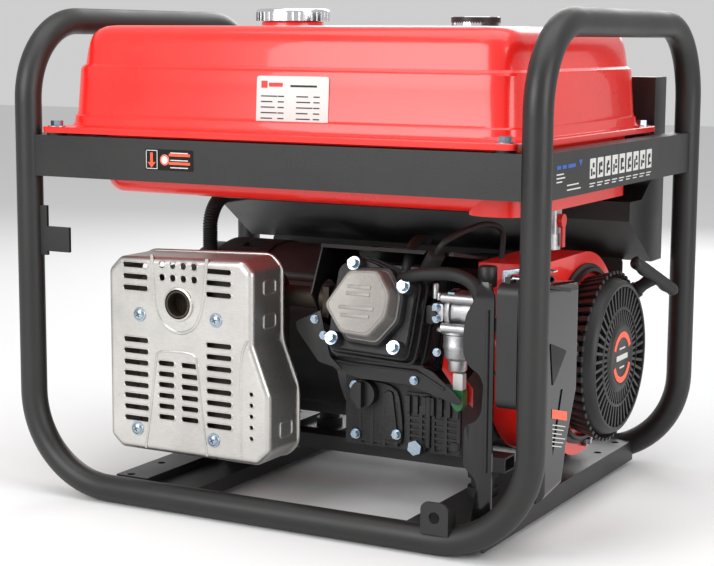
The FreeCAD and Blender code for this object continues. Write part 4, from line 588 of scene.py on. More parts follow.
beads = bmesh.new()
bead(beads, [(-158, 303), (-156, 270), (-153, 240), (-141, 221), (-120, 213), (-100, 220), (-89, 240),
             (-84, 270),
             (-81, 303)], 2.2)
bead(beads, [(-169, 70), (-161, 120), (-154, 172), (-149, 187), (-125, 190), (-100, 188), (-95, 172),
             (-89, 120),
             (-82, 70)], 1.7)
bead(beads, [(-35, 72), (-35, 120), (-35, 170), (-33, 196), (-26, 212)], 1.7)
piece("shield_beads", beads, "stamped_steel")
edge = bmesh.new()
OUTLINE = [(-222, 80), (-206, 66), (-14, 66), (2, 82), (2, 150), (-20, 205), (-20, 290), (-34, 304),
           (-206, 298),
           (-222, 282)]
rolled = rounded([(x, FACE + 67.0, z) for x, z in OUTLINE], 12)
drawn(edge, rolled, 2.4, 10, True)
for x0, z0, z1 in ((-20, 222, 238), (-20, 262, 278), (2, 96, 114)):
    frame_loop = [(x0 + 0.3, FACE + 26, z0), (x0 + 0.3, FACE + 52, z0), (x0 + 0.3, FACE + 52, z1),
                  (x0 + 0.3, FACE + 26, z1)]
    drawn(edge, rounded(frame_loop, 4), 1.0, 8, True)
piece("shield_rolled_edge", edge, "stamped_steel")

# %% Outlet with its gauze
outlet = bmesh.new()
turned(outlet, [(17.5, -3.2), (19.6, -2.6), (20.6, 0.6), (18.6, 1.2), (17.5, 0)], (-120, FACE, 247),
       (0, 1, 0), 56, True)
piece("outlet_lip", outlet, "stamped_steel")
gauze = bmesh.new()
for k in range(-6, 7):
    reach = math.sqrt(max(0.0, 13.9 ** 2 - (k * 2.1) ** 2))
    drawn(gauze, [(-120 - reach, FACE + 14, 247 + k * 2.1), (-120 + reach, FACE + 14, 247 + k * 2.1)], 0.45,
          6)
    drawn(gauze, [(-120 + k * 2.1, FACE + 13.4, 247 - reach), (-120 + k * 2.1, FACE + 13.4, 247 + reach)],
          0.45, 6)
piece("outlet_gauze", gauze, "exhaust_steel")

# %% Screws with a cross recess
SCREWS = [(-176.0, 230.5), (-69.0, 232.0), (-181.0, 92.0), (-73.0, 90.0)]
screws = bmesh.new()
# The cross recesses are not cut: thin dark crosses laid on the heads are painted shade for them.
recess_shade = bmesh.new()
for x, z in SCREWS:
    at = (x, FACE, z)
    turned(screws, [(0, 0.0), (8.2, 0.0), (8.6, -0.5), (8.2, -1.2), (6.3, -1.4), (6.4, -2.2), (5.2, -3.4),
                    (2.6, -4.0),
                    (0, -4.1)], at, (0, 1, 0), 32)
    for turn in (0.5, 0.5 + math.pi / 2):
        along = Vector((math.cos(turn), 0, math.sin(turn)))
        across = Vector((-math.sin(turn), 0, math.cos(turn))) * 0.55
        corners = [Vector(at) + Vector((0, -3.9, 0)) + s * along * 3.1 + t * across for s, t in
                   ((-1, -1), (1, -1), (1, 1), (-1, 1))]
        slab(recess_shade, corners, (0, -0.35, 0))
piece("shield_screw_heads", screws, "zinc_bolt", stands_for=("shield_screws",))
piece("shield_screw_recesses", recess_shade, "exhaust_steel")

# %% [markdown]
# ## The tank
# The upper shell is a deep drawing: a flat flange, a foot radius, a small step low down, sides that
# lean in, a crease that runs all the way round and a rounded top. Each level is a rounded rectangle,
# so the shell is a stack of rows, and the top is filled round the filler's neck so that the opening
# is real when the cap is off.

# %% Upper shell
def level_row(x, y0, y1, z, corner):
    return rounded([(-x, y0, z), (x, y0, z), (x, y1, z), (-x, y1, z)], corner, 7)


LEVELS = [(307, -255, 195, 445, 10), (307, -255, 195, 448, 10), (305.8, -253.8, 193.8, 449, 9),
          (298.6, -230, 185, 449, 33), (296, -227.2, 182, 450.2, 36), (294.6, -225.6, 180.6, 453.5, 38),
          (294, -225, 180, 461, 38), (292.4, -223.4, 178.4, 463, 38), (291.6, -222.6, 177.6, 466, 38),
          (289.6, -220.4, 175.6, 500, 38), (288.7, -219.4, 174.6, 517, 38), (287.6, -218, 173.2, 520, 38),
          (284.6, -214.6, 170, 523, 38), (282.6, -212.4, 168, 540, 38), (281, -210.6, 166.4, 549, 38),
          (278, -207.6, 163.4, 557.5, 37), (272.5, -202, 158, 564, 34), (265, -194.6, 150.4, 567.8, 30),
          (256, -185.6, 141.4, 569, 26)]
CAP = (-72.0, -60.0)
GAUGE = (172.0, -60.0)
shell = bmesh.new()
skin(shell, [level_row(*values) for values in LEVELS])
bmesh.ops.remove_doubles(shell, verts=shell.verts, dist=1e-6)
shell.faces.new([v for v in sorted((v for v in shell.verts if v.co.z < 0.4451),
                                   key=lambda v: math.atan2(v.co.y, v.co.x))])
circle = [shell.verts.new(Vector((CAP[0] + 38 * math.cos(t), CAP[1] + 38 * math.sin(t), 569)) * MM)
          for t in (2 * math.pi * i / 64 for i in range(64))]
hole = [shell.edges.new((circle[i], circle[(i + 1) % 64])) for i in range(64)]
brim = [e for e in shell.edges if e.is_boundary and min(v.co.z for v in e.verts) > 0.5689 and e not in hole]
bmesh.ops.triangle_fill(shell, edges=hole + brim, use_beauty=True)
piece("tank_shell", shell, "tank_red", stands_for=("tank_upper",), crease=24)
neck = bmesh.new()
turned(neck, [(38.4, -0.5), (38, 3), (37.4, 5.4), (35.6, 6), (31.4, 6), (30.2, 5.4), (30.2, -21), (34, -21),
              (35.6, -3)], (*CAP, 569), (0, 0, 1), 64, True)
turned(neck, [(31.2, -0.5), (30.8, 0.6), (29.6, 1.0), (20, 1.0), (20, -2)], (*GAUGE, 569), (0, 0, 1), 64,
       True)
piece("filler_neck", neck, "tank_red")

# %% Fuel gauge face
gauge = bmesh.new()
turned(gauge, [(22.6, 7), (23.4, 7.2), (24.4, 11.2), (27.4, 11.4), (28.4, 10.4), (28.6, 1), (22.6, 1)],
       (*GAUGE, 569), (0, 0, 1), 56, True)
piece("gauge_bezel", gauge, "chrome")
dial = bmesh.new()
turned(dial, [(0, 7.05), (22.4, 7.05), (22.4, 7.5), (0, 7.5)], (*GAUGE, 569), (0, 0, 1), 40)
piece("gauge_dial", dial, "ivory_plastic")
marks = bmesh.new()
for k in range(9):
    turn = math.radians(200 + 17.5 * k)
    way = Vector((math.cos(turn), math.sin(turn), 0))
    side = Vector((-way.y, way.x, 0)) * (0.9 if k % 4 == 0 else 0.45)
    foot, tip = Vector((*GAUGE, 576.5)) + way * 14.5, Vector((*GAUGE, 576.5)) + way * 19.5
    slab(marks, [foot - side, foot + side, tip + side, tip - side], (0, 0, 0.35))
hand = Vector((math.cos(4.1), math.sin(4.1), 0))
cross = Vector((-hand.y, hand.x, 0)) * 1.3
middle = Vector((*GAUGE, 577.6))
slab(marks, [middle - cross - hand * 4, middle + cross - hand * 4, middle + hand * 15.5 + cross * 0.3,
             middle + hand * 15.5 - cross * 0.3], (0, 0, 0.6))
piece("gauge_marks", marks, "red_plastic")

# %% [markdown]
# ## Plates and decals
# Printed plates are thin slabs with plain bars and blocks on them. They carry no words: the bars only
# stand where a maker would print a rating or a warning.

# %% Plates
def bars(bm, origin, across, upward, out, rows, raise_by=0.25):
    """rows: (left, bottom, width, height) in the plate's own plane."""
    origin, across, upward, out = (Vector(v) for v in (origin, across, upward, out))
    for left, bottom, width, height in rows:
        corner = origin + across * left + upward * bottom
        slab(bm, [corner, corner + across * width, corner + across * width + upward * height,
                  corner + upward * height], out * raise_by)


def plate(name, origin, across, upward, out, size, finish, corner=3.0, thick=0.5):
    origin, across, upward = Vector(origin), Vector(across), Vector(upward)
    points = [origin, origin + across * size[0], origin + across * size[0] + upward * size[1],
              origin + upward * size[1]]
    bm = bmesh.new()
    slab(bm, rounded(points, corner), Vector(out) * thick)
    return piece(name, bm, finish)


tank_up = Vector((0, 3.1, 55)).normalized()
plate("rating_plate", (-24, -223.6, 457), (1, 0, 0), tank_up, (0, -1, 0), (93, 56), "white_label", 4)
lines = bmesh.new()
rows = [(6 + 46 * c, 8 + 6.2 * r, (15 + 3 * ((r * 5 + c) % 3)), 1.3) for r in range(5) for c in (0, 1)]
rows += [(28 + 46 * c, 8 + 6.2 * r, 8, 1.3) for r in range(5) for c in (0, 1)] + [(44, 44, 34, 2.2)]
bars(lines, (-24, -224.1, 457), (1, 0, 0), tank_up, (0, -1, 0), rows)
piece("rating_plate_lines", lines, "rubber")
mark = bmesh.new()
bars(mark, (-24, -224.1, 457), (1, 0, 0), tank_up, (0, -1, 0), [(6, 42.5, 8, 8), (16, 44, 18, 4.5)])
piece("rating_plate_mark", mark, "red_plastic")
plate("beam_decal", (-153, -257.0, 404), (1, 0, 0), (0, 0, 1), (0, -1, 0), (66, 24), "gloss_black", 2, 0.4)
pale = bmesh.new()
bars(pale, (-153, -257.4, 404), (1, 0, 0), (0, 0, 1), (0, -1, 0),
     [(1.2, 1.2, 0.8, 21.6), (16.2, 1.2, 0.8, 21.6), (1.2, 1.2, 15, 0.8), (1.2, 22, 15, 0.8)]
     + [(35 + 2 * (r % 2), 3 + 4.2 * r, 24 - 4 * (r % 2), 1.1) for r in range(5) if r not in (1, 3)])
turned(pale, [(0, 0), (6.2, 0), (6.2, -0.25), (0, -0.25)], (-126, -257.4, 416), (0, 1, 0), 30)
piece("beam_decal_pale", pale, "white_label")
warm = bmesh.new()
bars(warm, (-153, -257.6, 404), (1, 0, 0), (0, 0, 1), (0, -1, 0),
     [(7.2, 9, 3.6, 11), (33, 7, 29, 3), (33, 16.5, 29, 3)])
slab(warm, [(-149.5, -257.6, 413), (-138.5, -257.6, 413), (-144, -257.6, 406.5)], (0, -0.25, 0))
turned(warm, [(4.6, 0), (6.0, 0), (6.0, -0.3), (4.6, -0.3)], (-126, -257.7, 416), (0, 1, 0), 30, True)
piece("beam_decal_red", warm, "orange_plastic")

# %% Tiles along the end beam
tiles = bmesh.new()
ink = bmesh.new()
for k in range(9):
    y = -118 + 23.5 * k
    bars(tiles, (337.0, y, 405), (0, 1, 0), (0, 0, 1), (1, 0, 0),
         [(0, 0, 18, 22), (0, -6, 17, 1.2), (0, -9, 13, 1.2)])
    bars(ink, (337.25, y, 405), (0, 1, 0), (0, 0, 1), (1, 0, 0),
         [(3 + k % 3, 3, 4, 8 + (k * 5) % 7), (9, 4 + k % 4, 6, 3), (8 + k % 2, 12, 5, 5)])
bars(tiles, (337.0, -215, 405), (0, 1, 0), (0, 0, 1), (1, 0, 0),
     [(0, 2, 16, 1.4), (0, 6, 24, 1.4), (0, 10, 20, 1.4), (30, -8, 40, 1.4), (30, -3, 34, 1.4)])
piece("end_beam_tiles", tiles, "white_label")
piece("end_beam_ink", ink, "rubber")
pointer = bmesh.new()
slab(pointer, [(337.0, -152, 428), (337.0, -141, 428), (337.0, -146.5, 420)], (0.25, 0, 0))
bars(pointer, (337.0, -215, 405), (0, 1, 0), (0, 0, 1), (1, 0, 0),
     [(0, 16, 12, 4), (16, 16, 12, 4), (32, 16, 22, 4)])
piece("end_beam_pointer", pointer, "blue_plastic")

# %% [markdown]
# ## The valve cover
# A thin casting, bolted to the leaning head. It is drawn along the cylinder's own axis: a rim with
# the bolts in its corners, a many-sided body that narrows as it rises, a rounded shoulder and a flat
# face with a shallow border. Plain raised bars stand for the maker's lettering.

# %% Valve cover
CRANK = (55.0, 178.0)
LEAN = math.radians(18)


def leaning(x, lift, s):
    """A point on the leaning cylinder: x along the crank, lift across it, s outwards."""
    return Vector((96 + x, CRANK[0] - s * math.cos(LEAN) + lift * math.sin(LEAN),
                   CRANK[1] + s * math.sin(LEAN) + lift * math.cos(LEAN)))


RIM = [(-46, -50), (52, -54), (54, -30), (55, 32), (36, 38), (-12, 54), (-30, 54), (-50, 4)]
DOME = [(-43, -6), (-17, 38), (22, 40), (41, 14), (41, -14), (21, -40), (-16, -38)]
COVER_BOLTS = [(-36, -41), (45, 25), (44, -45), (-22, 47)]


def cover_row(outline, scale, s, corner):
    return rounded([leaning(x * scale, y * scale, s) for x, y in outline], corner, 4)


cover = bmesh.new()
foot = bmesh.new()
skin(foot, [cover_row(RIM, k, s, 8) for k, s in ((0.60, 233), (1.0, 233), (1.0, 237.6), (0.98, 239),
                                                 (0.6, 239.2))],
     capped=False)
skin(foot, [cover_row(DOME, k, s, 6) for k, s in ((1.20, 239.0), (1.155, 240.2), (1.14, 243), (1.135, 249.4),
                                                   (1.115, 250.8), (1.06, 251.2), (1.0,
                                                                                   251.3))], capped=False)
skin(cover, [cover_row(DOME, k, s, 6) for k, s in ((1.04, 251.2), (1.005, 252.4), (0.995, 255),
                                                   (0.975, 267.5),
                                                   (0.96, 270.6), (0.93, 272.4), (0.90, 273), (0.885, 272.9),
                                                   (0.87, 272.3), (0.85, 272.1))], capped=True)
for x, y in COVER_BOLTS:
    turned(foot, [(0, 0), (10.6, 0), (9.4, 2), (8.9, 16.8), (8.3, 17.9), (0, 17.9)], leaning(x, y, 233.2),
           leaning(0, 0, 2) - leaning(0, 0, 1), 24)
# The rim, the lower step and the cover's bolts take the dark casting finish while the body above is grey:
# painted shade on the one casting.
piece("valve_cover_foot", foot, "cast_dark", stands_for=("valve_cover",))
piece("valve_cover_casting", cover, "cast_grey")
badge = bmesh.new()
for lift, width in ((15, 30), (7, 30), (-9, 44), (-18, 36)):
    corners = [leaning(x, y, 272.2) for x, y in ((-width / 2, lift), (width / 2, lift), (width / 2, lift + 4),
                                                 (-width / 2, lift + 4))]
    slab(badge, corners, leaning(0, 0, 1) - leaning(0, 0, 0.2), 0.3)
piece("valve_cover_bars", badge, "cast_grey")
seam = bmesh.new()
drawn(seam, cover_row(RIM, 1.03, 232.4, 8), 1.3, 8, True)
drawn(seam, cover_row(RIM, 1.10, 222, 10), 1.8, 8, True)
drawn(seam, cover_row(RIM, 1.13, 204, 10), 1.8, 8, True)
piece("head_ridges", seam, "cast_dark")

# %% [markdown]
# ## The recoil starter's cover
# A moulded basket: many thin ribs between a hub and a rim, so a pattern draws it. One tree makes a
# ring of bars about an axis; with long radial bars it is the face, and with short deep ones it is the
# slatted side. Turned rings tie the bars together.

# %% A ring of bars
spokes = Pattern("ring_of_bars", Count=44, Inner=0.042, Outer=0.086, Width=0.003, Depth=0.005, Slant=0.0)
middle_r = (spokes.size("Inner") + spokes.size("Outer")) * 0.5
ring = spokes.node("GeometryNodeMeshCircle", {}, {"Vertices": spokes.size("Count"), "Radius": middle_r})
bar_size = spokes.vector(spokes.size("Outer") - spokes.size("Inner"), spokes.size("Width"), spokes.size("Depth"))
bar = spokes.node("GeometryNodeMeshCube", {}, {"Size": bar_size})
turn = spokes.node("GeometryNodeInputIndex") * (2 * math.pi) / spokes.size("Count")
placed = spokes.node("GeometryNodeInstanceOnPoints", {}, {"Points": ring, "Instance": bar,
                                                          "Rotation": spokes.vector(0, spokes.size("Slant"),
                                                                                    turn)})
upright = spokes.moved(placed, (0, 0, 0), (0, math.pi / 2, 0))
centre = spokes.node("GeometryNodeInstanceOnPoints", {}, {"Points": spokes.size("Geometry"),
                                                          "Instance": upright})
spokes.end(centre, "black_plastic")


def ring_of_bars(name, x, finish="black_plastic", body="generator", stands_for=(), **sizes):
    return grown(name, spokes, cloud([((x, *CRANK), (1, 0, 0))]), finish, body, stands_for, **sizes)


ring_of_bars("recoil_face_ribs", 313.5, Count=46, Inner=0.0405, Outer=0.0865, Width=0.0034, Depth=0.006)
ring_of_bars("recoil_side_ribs", 290, Count=52, Inner=0.0945, Outer=0.0985, Width=0.0058, Depth=0.034,
             Slant=0.27)

# %% Hub, rim and flange of the basket
basket = bmesh.new()
axis_at = (0, *CRANK)
turned(basket, [(110, 268.5), (110, 271.2), (105.5, 272.4), (104.4, 277), (100.5, 277), (101, 271.5),
                (103, 268.5)],
       axis_at, (1, 0, 0), 96, True)
turned(basket, [(95.2, 303), (92.6, 312), (90.6, 316.2), (87.6, 318), (84.8, 317.4), (84.6, 311),
                (89.4, 308), (91, 303)],
       axis_at, (1, 0, 0), 96, True)
turned(basket, [(60.5, 311), (60.5, 316.6), (57, 317.2), (56.6, 311)], axis_at, (1, 0, 0), 96, True)
turned(basket, [(0, 311), (43, 311), (43, 315.6), (41, 318), (37, 319.2), (34, 319.4), (33, 318.8),
                (0, 318.8)],
       axis_at, (1, 0, 0), 72)
turned(basket, [(0, 280.5), (8, 280.5), (8, 311), (0, 311)], axis_at, (1, 0, 0), 24)
ARM = [(286, 135, 222), (286.6, 152, 229.4), (286.9, 166, 235.2), (289.4, 170.3, 239.3),
       (292.4, 170.4, 241.6),
       (296.2, 170.6, 244.6)]
drawn(basket, smoothed(ARM, 6), 10.6, 16)
def foot_turn(k):
    return math.radians(35 + 120 * k)


for spin in range(3):
    t = foot_turn(spin)
    turned(basket, [(0, 268.5), (7.5, 268.5), (7.5, 272), (6, 273), (0, 273)],
           (0, CRANK[0] + 110 * math.cos(t), CRANK[1] + 110 * math.sin(t)), (1, 0, 0), 20)
piece("recoil_basket", basket, "black_plastic", stands_for=("recoil_housing",))
grown("recoil_bolts", bolts, cloud([((273, CRANK[0] + 110 * math.cos(foot_turn(k)),
                                      CRANK[1] + 110 * math.sin(foot_turn(k))), (1, 0,
                                                                                 0)) for k in range(3)]),
      "zinc_bolt", Across=0.008, Height=0.004, Washer=0.0062)

# %% Badge on the hub
band = bmesh.new()
for start, stop in ((22, 158), (202, 338)):
    arc = [math.radians(start + (stop - start) * k / 24) for k in range(25)]
    loop = [Vector((318.9, CRANK[0] + r * math.cos(t), CRANK[1] + r * math.sin(t)))
            for r, ts in ((24.0, arc), (31.0, arc[::-1])) for t in ts]
    slab(band, loop, (0.45, 0, 0))
piece("recoil_badge_ring", band, "orange_plastic")
stripe = bmesh.new()
bars(stripe, (318.9, CRANK[0], CRANK[1]), (0, 1, 0), (0, 0, 1), (1, 0, 0),
     [(-19, -3.2, 38, 6.4), (-8, -13, 16, 2), (-10, 10, 20, 2)], 0.4)
piece("recoil_badge_bars", stripe, "white_label")

# %% [markdown]
# ## The pull grip
# The grip is moulded round the rope's end: a bar with a straight back and four finger hollows on the
# side that faces the machine. It is lofted along its length from rounded sections whose depth rises
# and falls.

# %% Grip
GRIP_AT = Vector((318, 172, 262))
PULL = Vector((0.75, 0.05, 0.60)).normalized()
ALONG = Vector((0.33, 0.79, -0.50))
ALONG = (ALONG - PULL * ALONG.dot(PULL)).normalized()
SIDE = PULL.cross(ALONG)
GRIP_ROWS = 45
GRIP_HALF = 45.5
FINGERS = 4
grip = bmesh.new()
rows = []
for k in range(GRIP_ROWS):
    t = -1 + 2 * k / (GRIP_ROWS - 1)
    end = math.sqrt(max(0.02, 1 - max(0.0, abs(t) - 0.86) ** 2 / 0.0200)) if abs(t) > 0.86 else 1.0
    hollow = 1.9 * (0.5 - 0.5 * math.cos(math.pi * FINGERS * (t + 1)))
    wide, back, front = 8.6 * end, 7.2 * end, (9.6 - hollow) * end
    row = []
    for j in range(20):
        a = 2 * math.pi * j / 20
        depth = back if math.sin(a) > 0 else front
        flat = abs(math.sin(a)) ** 0.75 * (1 if math.sin(a) > 0 else -1)
        row.append(GRIP_AT + ALONG * t * GRIP_HALF + SIDE * wide * math.cos(a) + PULL * depth * flat)
    rows.append(row)
skin(grip, rows, capped=True)
stem = GRIP_AT - PULL * 28 + PULL * 0.4
turned(grip, [(0, 0), (8.2, 0), (8.6, 3), (7.6, 8), (8.4, 16), (10, 24), (0, 24)], stem, PULL, 28)
piece("grip_moulding", grip, "black_plastic", "pull_grip", ("pull_grip",))

# %% [markdown]
# ## The carburettor
# A die casting seen from its side: a barrel through which the engine breathes, a float bowl hanging
# under it, a solenoid below that with a two-pin plug, and small posts and screws on top. Turned
# profiles give the round forms and eased slabs the flanges.

# %% Carburettor
THROAT = Vector((0, -137.3, 251.0))
carb = bmesh.new()
turned(carb, [(12, 184), (24, 184), (24.6, 185), (24.6, 190), (20, 191), (18.5, 196), (18.5, 203),
              (20.5, 204),
              (20.5, 214), (18, 216), (18, 226), (24, 227), (24, 232), (12, 232)], THROAT, (1, 0,
                                                                                            0), 40, True)
for y, z in ((-161, 268), (-114, 234), (-161, 234)):
    turned(carb, [(0, 182), (5.5, 182), (5.5, 234), (0, 234)], (0, y, z), (1, 0, 0), 16)
bowl_at = (193, -141, 0)
turned(carb, [(0, 233), (18.5, 233), (19.6, 230), (19.8, 226), (17, 225), (16.6, 214), (17.2, 213),
              (17.2, 209),
              (16.2, 207.4), (15.8, 199), (13, 195.4), (11, 194.6), (10.8, 184), (9.4, 182), (0, 182)],
       bowl_at, (0, 0, 1), 40)
slab(carb, lying(174, 212, -163, -118, 229, 7), (0, 0, 4), 0.8)
slab(carb, standing(168, 182, 240, 260, -158, 3), (0, 12, 0), 0.8)
slab(carb, lying(178, 214, -160, -118, 268, 5), (0, 0, 3), 0.6)
for x, y, r, h in ((172, -157, 3.4, 283), (180, -165, 2.6, 274)):
    turned(carb, [(0, 266), (r, 266), (r, h - 1.5), (r - 1, h), (0, h)], (x, y, 0), (0, 0, 1), 18)
piece("carburettor_casting", carb, "cast_bright", stands_for=("carburettor",))
dark = bmesh.new()
slab(dark, standing(160, 169, 236, 257, -156, 2), (0, 9, 0), 0.8)
turned(dark, [(0, 0), (3.4, 0), (3.4, 4), (0, 4)], (171, -158.2, 249), (0, -1, 0), 16)
turned(dark, [(16.9, 224.6), (17.4, 224.6), (17.4, 226), (16.9, 226)], bowl_at, (0, 0, 1), 40, True)
piece("carburettor_fittings", dark, "black_plastic")
plug = bmesh.new()
slab(plug, standing(190, 202, 160, 180, -147, 1.5), (0, 10, 0), 0.6)
piece("solenoid_plug", plug, "white_label")
shell_green = bmesh.new()
slab(shell_green, rounded([(189, -148, 143), (194, -148, 137), (200, -148, 137), (203, -148, 143),
                           (203, -148, 161),
                           (189, -148, 161)], 1.5), (0, 12, 0), 0.8)
piece("solenoid_socket", shell_green, "green_plastic")
grown("carburettor_screws", bolts, cloud([((174, -158.4, 256), (0, -1, 0)), ((174, -158.4, 243), (0, -1, 0)),
                                          ((176, -160, 205), (0, -1, 0))]),
      "zinc_bolt", Across=0.0065, Height=0.003, Washer=0.0048)
strip = bmesh.new()
slab(strip, [(171, -128, 214), (177, -128, 206), (184, -128, 182), (206, -128, 160), (206, -128, 138),
             (180, -128, 162),
             (167, -128, 178)], (0, 2, 0), 0.4)
piece("shroud_lip", strip, "shroud_red")
sleeve = bmesh.new()
turned(sleeve, [(0, 0), (10.2, 0), (10.8, 1), (10.8, 21), (9.4, 23), (0, 23)], (232, -150, 283), (0, 0, 1),
       30)
piece("relay_can", sleeve, "black_plastic")
arm = bmesh.new()
slab(arm, rounded([(251, -152, 276), (256, -152, 276), (256, -152, 298), (272, -152, 301), (272, -152, 306),
                   (251, -152, 302)], 1.6), (0, 13, 0), 0.5)
piece("governor_bracket", arm, "zinc_bolt")

# %% [markdown]
# ## Hoses and leads
# The wiring runs in a ribbed conduit, the fuel and breather lines are plain rubber and the spark
# lead is thin. Each is swept along a smoothed path; the conduit's ribs come from a radius that rises
# and falls along the way. Spring clips grip the ends.

# %% Hoses
lines = bmesh.new()
drawn(lines, smoothed([(270, -82, 344), (270, -100, 344), (268, -109, 318), (264, -111, 284),
                       (262, -113, 250),
                       (261, -122, 228), (259, -137.3, 215), (241, -137.3, 215)], 8), 4.5, 14)
drawn(lines, smoothed([(118, -148, 268), (126, -158, 280), (142, -170, 289), (166, -176, 295),
                       (200, -175, 297), (224, -176, 290), (235, -178, 274), (240, -182, 256), (258, -184,
                                                                                                246),
                       (276.5, -184, 244)], 8), 7.4, 16)
drawn(lines, smoothed([(171.3, -154.2, 316), (179, -159, 326.6), (184, -150, 333), (190, -118, 340),
                       (198, -80, 344),
                       (206, -52, 334), (206, -52, 302)], 8), 3.5, 12)
drawn(lines, smoothed([(118, -128, 262), (126, -138, 296), (116, -104, 316), (92, -40, 316), (60, 30, 306),
                       (40, 90, 300)], 8), 6, 14)
bend = [(-240, 10, 258 + 4 * k) for k in range(12)]
for t in (math.pi / 2 * k / 14 for k in range(15)):
    bend.append((-240, 10 + 40 * (1 - math.cos(t)), 306 + 40 * math.sin(t)))
bend += [(-240, 50 + 4 * k, 346) for k in range(1, 19)]
fine = smoothed(bend, 4)
drawn(lines, fine, [10.0 if k % 3 else 8.6 for k in range(len(fine))], 20)
piece("rubber_lines", lines, "rubber", stands_for=("hoses_and_leads",), crease=50)
clips = bmesh.new()
for at, axis, r in (((272, -184, 244), (1, 0, 0), 8.0),
                    ((270, -94, 344), (0, 1, 0), 5.0), ((247, -137.3, 215), (1, 0, 0), 5.0)):
    turned(clips, [(r - 0.6, -3), (r + 0.5, -3), (r + 0.5, 3), (r - 0.6, 3)], at, axis, 28, True)
piece("hose_clips", clips, "zinc_bolt")

# %% [markdown]
# ## Sheet metal round the engine
# A stay carries the air cleaner, thin plates guide the cooling air under the head, and a dark rubber
# strip, painted shade for the dark space behind the engine, and the wiring loom close the gap below
# the panel. They are cut from sheet, so each is an outline with a thickness and a rolled edge.

# %% Plates
stay = bmesh.new()
slab(stay, rounded([(250, -226, 32), (274, -226, 32), (274, -226, 284), (268, -226, 300), (258, -226, 300),
                    (249, -226, 276), (241, -226, 262), (238, -226, 240), (239, -226, 217), (246, -226, 206),
                    (258, -226, 199), (263, -226, 188), (261, -226, 157), (254, -226, 146), (241, -226, 141),
                    (240, -226, 95), (251, -226, 87), (257, -226, 78)], 5), (0, 3, 0), 1.0)
slab(stay, [(250, -226, 32), (272, -226, 32), (272, -194, 32), (250, -194, 32)], (0, 0, 3), 0.6)
slab(stay, lying(258, 276, -224, -208, 198, 3), (0, 0, 3), 0.6)
drawn(stay, [(267, -226.4, 92), (267, -226.4, 270)], 2.2, 10)
piece("cleaner_stay_plate", stay, "gloss_black", stands_for=("cleaner_stay",))
plates = bmesh.new()
slab(plates, rounded([(-2, -172, 227), (31, -172, 243), (36, -172, 221), (44, -172, 190), (60, -172, 176),
                      (29, -172, 182), (0, -172, 217)], 2), (0, 2, 0), 0.6)
slab(plates, rounded([(29, -160, 188), (60, -160, 188), (130, -160, 186), (157, -160, 186), (170, -160, 182),
                      (207, -160, 152), (204, -160, 146), (140, -160, 164), (76, -160, 165), (45, -160,
                                                                                              172)], 3),
     (0, 2, 0), 0.6)
slab(plates, rounded([(30, -160, 186), (160, -160, 186), (160, -124, 178), (30, -124, 178)], 3),
     (0, 0, 1.5), 0.5)
drawn(plates, [(34, -161, 184), (60, -161, 182), (150, -161, 181), (186, -161, 163)], 1.6, 8)
piece("head_air_plates", plates, "sheet_black")
grown("air_plate_screws", bolts, cloud([((148, -161, 170), (0, -1, 0)), ((24, -172, 232), (0, -1, 0)),
                                        ((36, -172, 214), (0, -1, 0))]),
      "zinc_bolt", Across=0.007, Height=0.003, Washer=0.0052)
shade_strip_and_loom = bmesh.new()
# The strip is a dark sheet in the gap below the panel: painted shade for the dark space behind the engine. The
# wavy tube and its rings are the wiring loom.
slab(shade_strip_and_loom, standing(-262, 262, 246, 277, 207, 6), (0, 3, 0), 0.8)
drawn(shade_strip_and_loom, smoothed([(-240, 196, 262), (-160, 190, 256), (-80, 196, 264), (0, 190, 257), (80, 196, 265),
                       (160, 190, 258), (236, 196, 266)], 8), 8, 12)
for x in (-200, -110, -20, 70, 160):
    turned(shade_strip_and_loom, [(8, -4), (9.4, -4), (9.4, 4), (8, 4)], (x, 192.5, 259.5), (1, 0, 0), 20, True)
piece("panel_skirt_and_loom", shade_strip_and_loom, "rubber")

# %% Crankcase face
face = bmesh.new()
slab(face, standing(120, 192, 84, 148, -125.6, 4), (0, -3, 0), 1.2)
for k in range(7):
    x = 123 + 10.4 * k
    slab(face, standing(x, x + 5.4, 124, 145, -128, 1.2), (0, -5, 0), 1.0)
for k in range(5):
    slab(face, standing(123, 189, 89 + 7 * k, 92 + 7 * k, -128, 1),
         (0, -2.6, 0), 0.8)
slab(face, standing(150, 155, 86, 146, -128, 1), (0, -6, 0), 1.2)
slab(face, rounded([(48, -125.6, 84), (118, -125.6, 84), (118, -125.6, 112), (112, -125.6, 150),
                    (92, -125.6, 156),
                    (48, -125.6, 156)], 9), (0, -5, 0), 2.6, 3)
slab(face, rounded([(88, -130, 90), (114, -130, 90), (106, -130, 148), (96, -130, 148)], 5), (0, -4, 0),
     1.6, 3)
turned(face, [(0, 0), (11, 0), (11, 3), (9, 5), (0, 5)], (138, -128, 85), (0, -1, 0), 28)
for x, z in ((56, 150), (112, 97), (58, 92), (186, 142), (186, 90)):
    turned(face, [(0, 0), (6, 0), (5.4, 4), (0, 4)], (x, -128.5, z), (0, -1, 0), 20)
piece("crankcase_face", face, "cast_dark")
grown("crankcase_bolts", bolts, cloud([((56, -132.5, 150), (0, -1, 0)), ((112, -132.5, 97), (0, -1, 0)),
                                       ((58, -132.5, 92), (0, -1, 0))]),
      "zinc_bolt", Across=0.008, Height=0.0045, Washer=0.006)

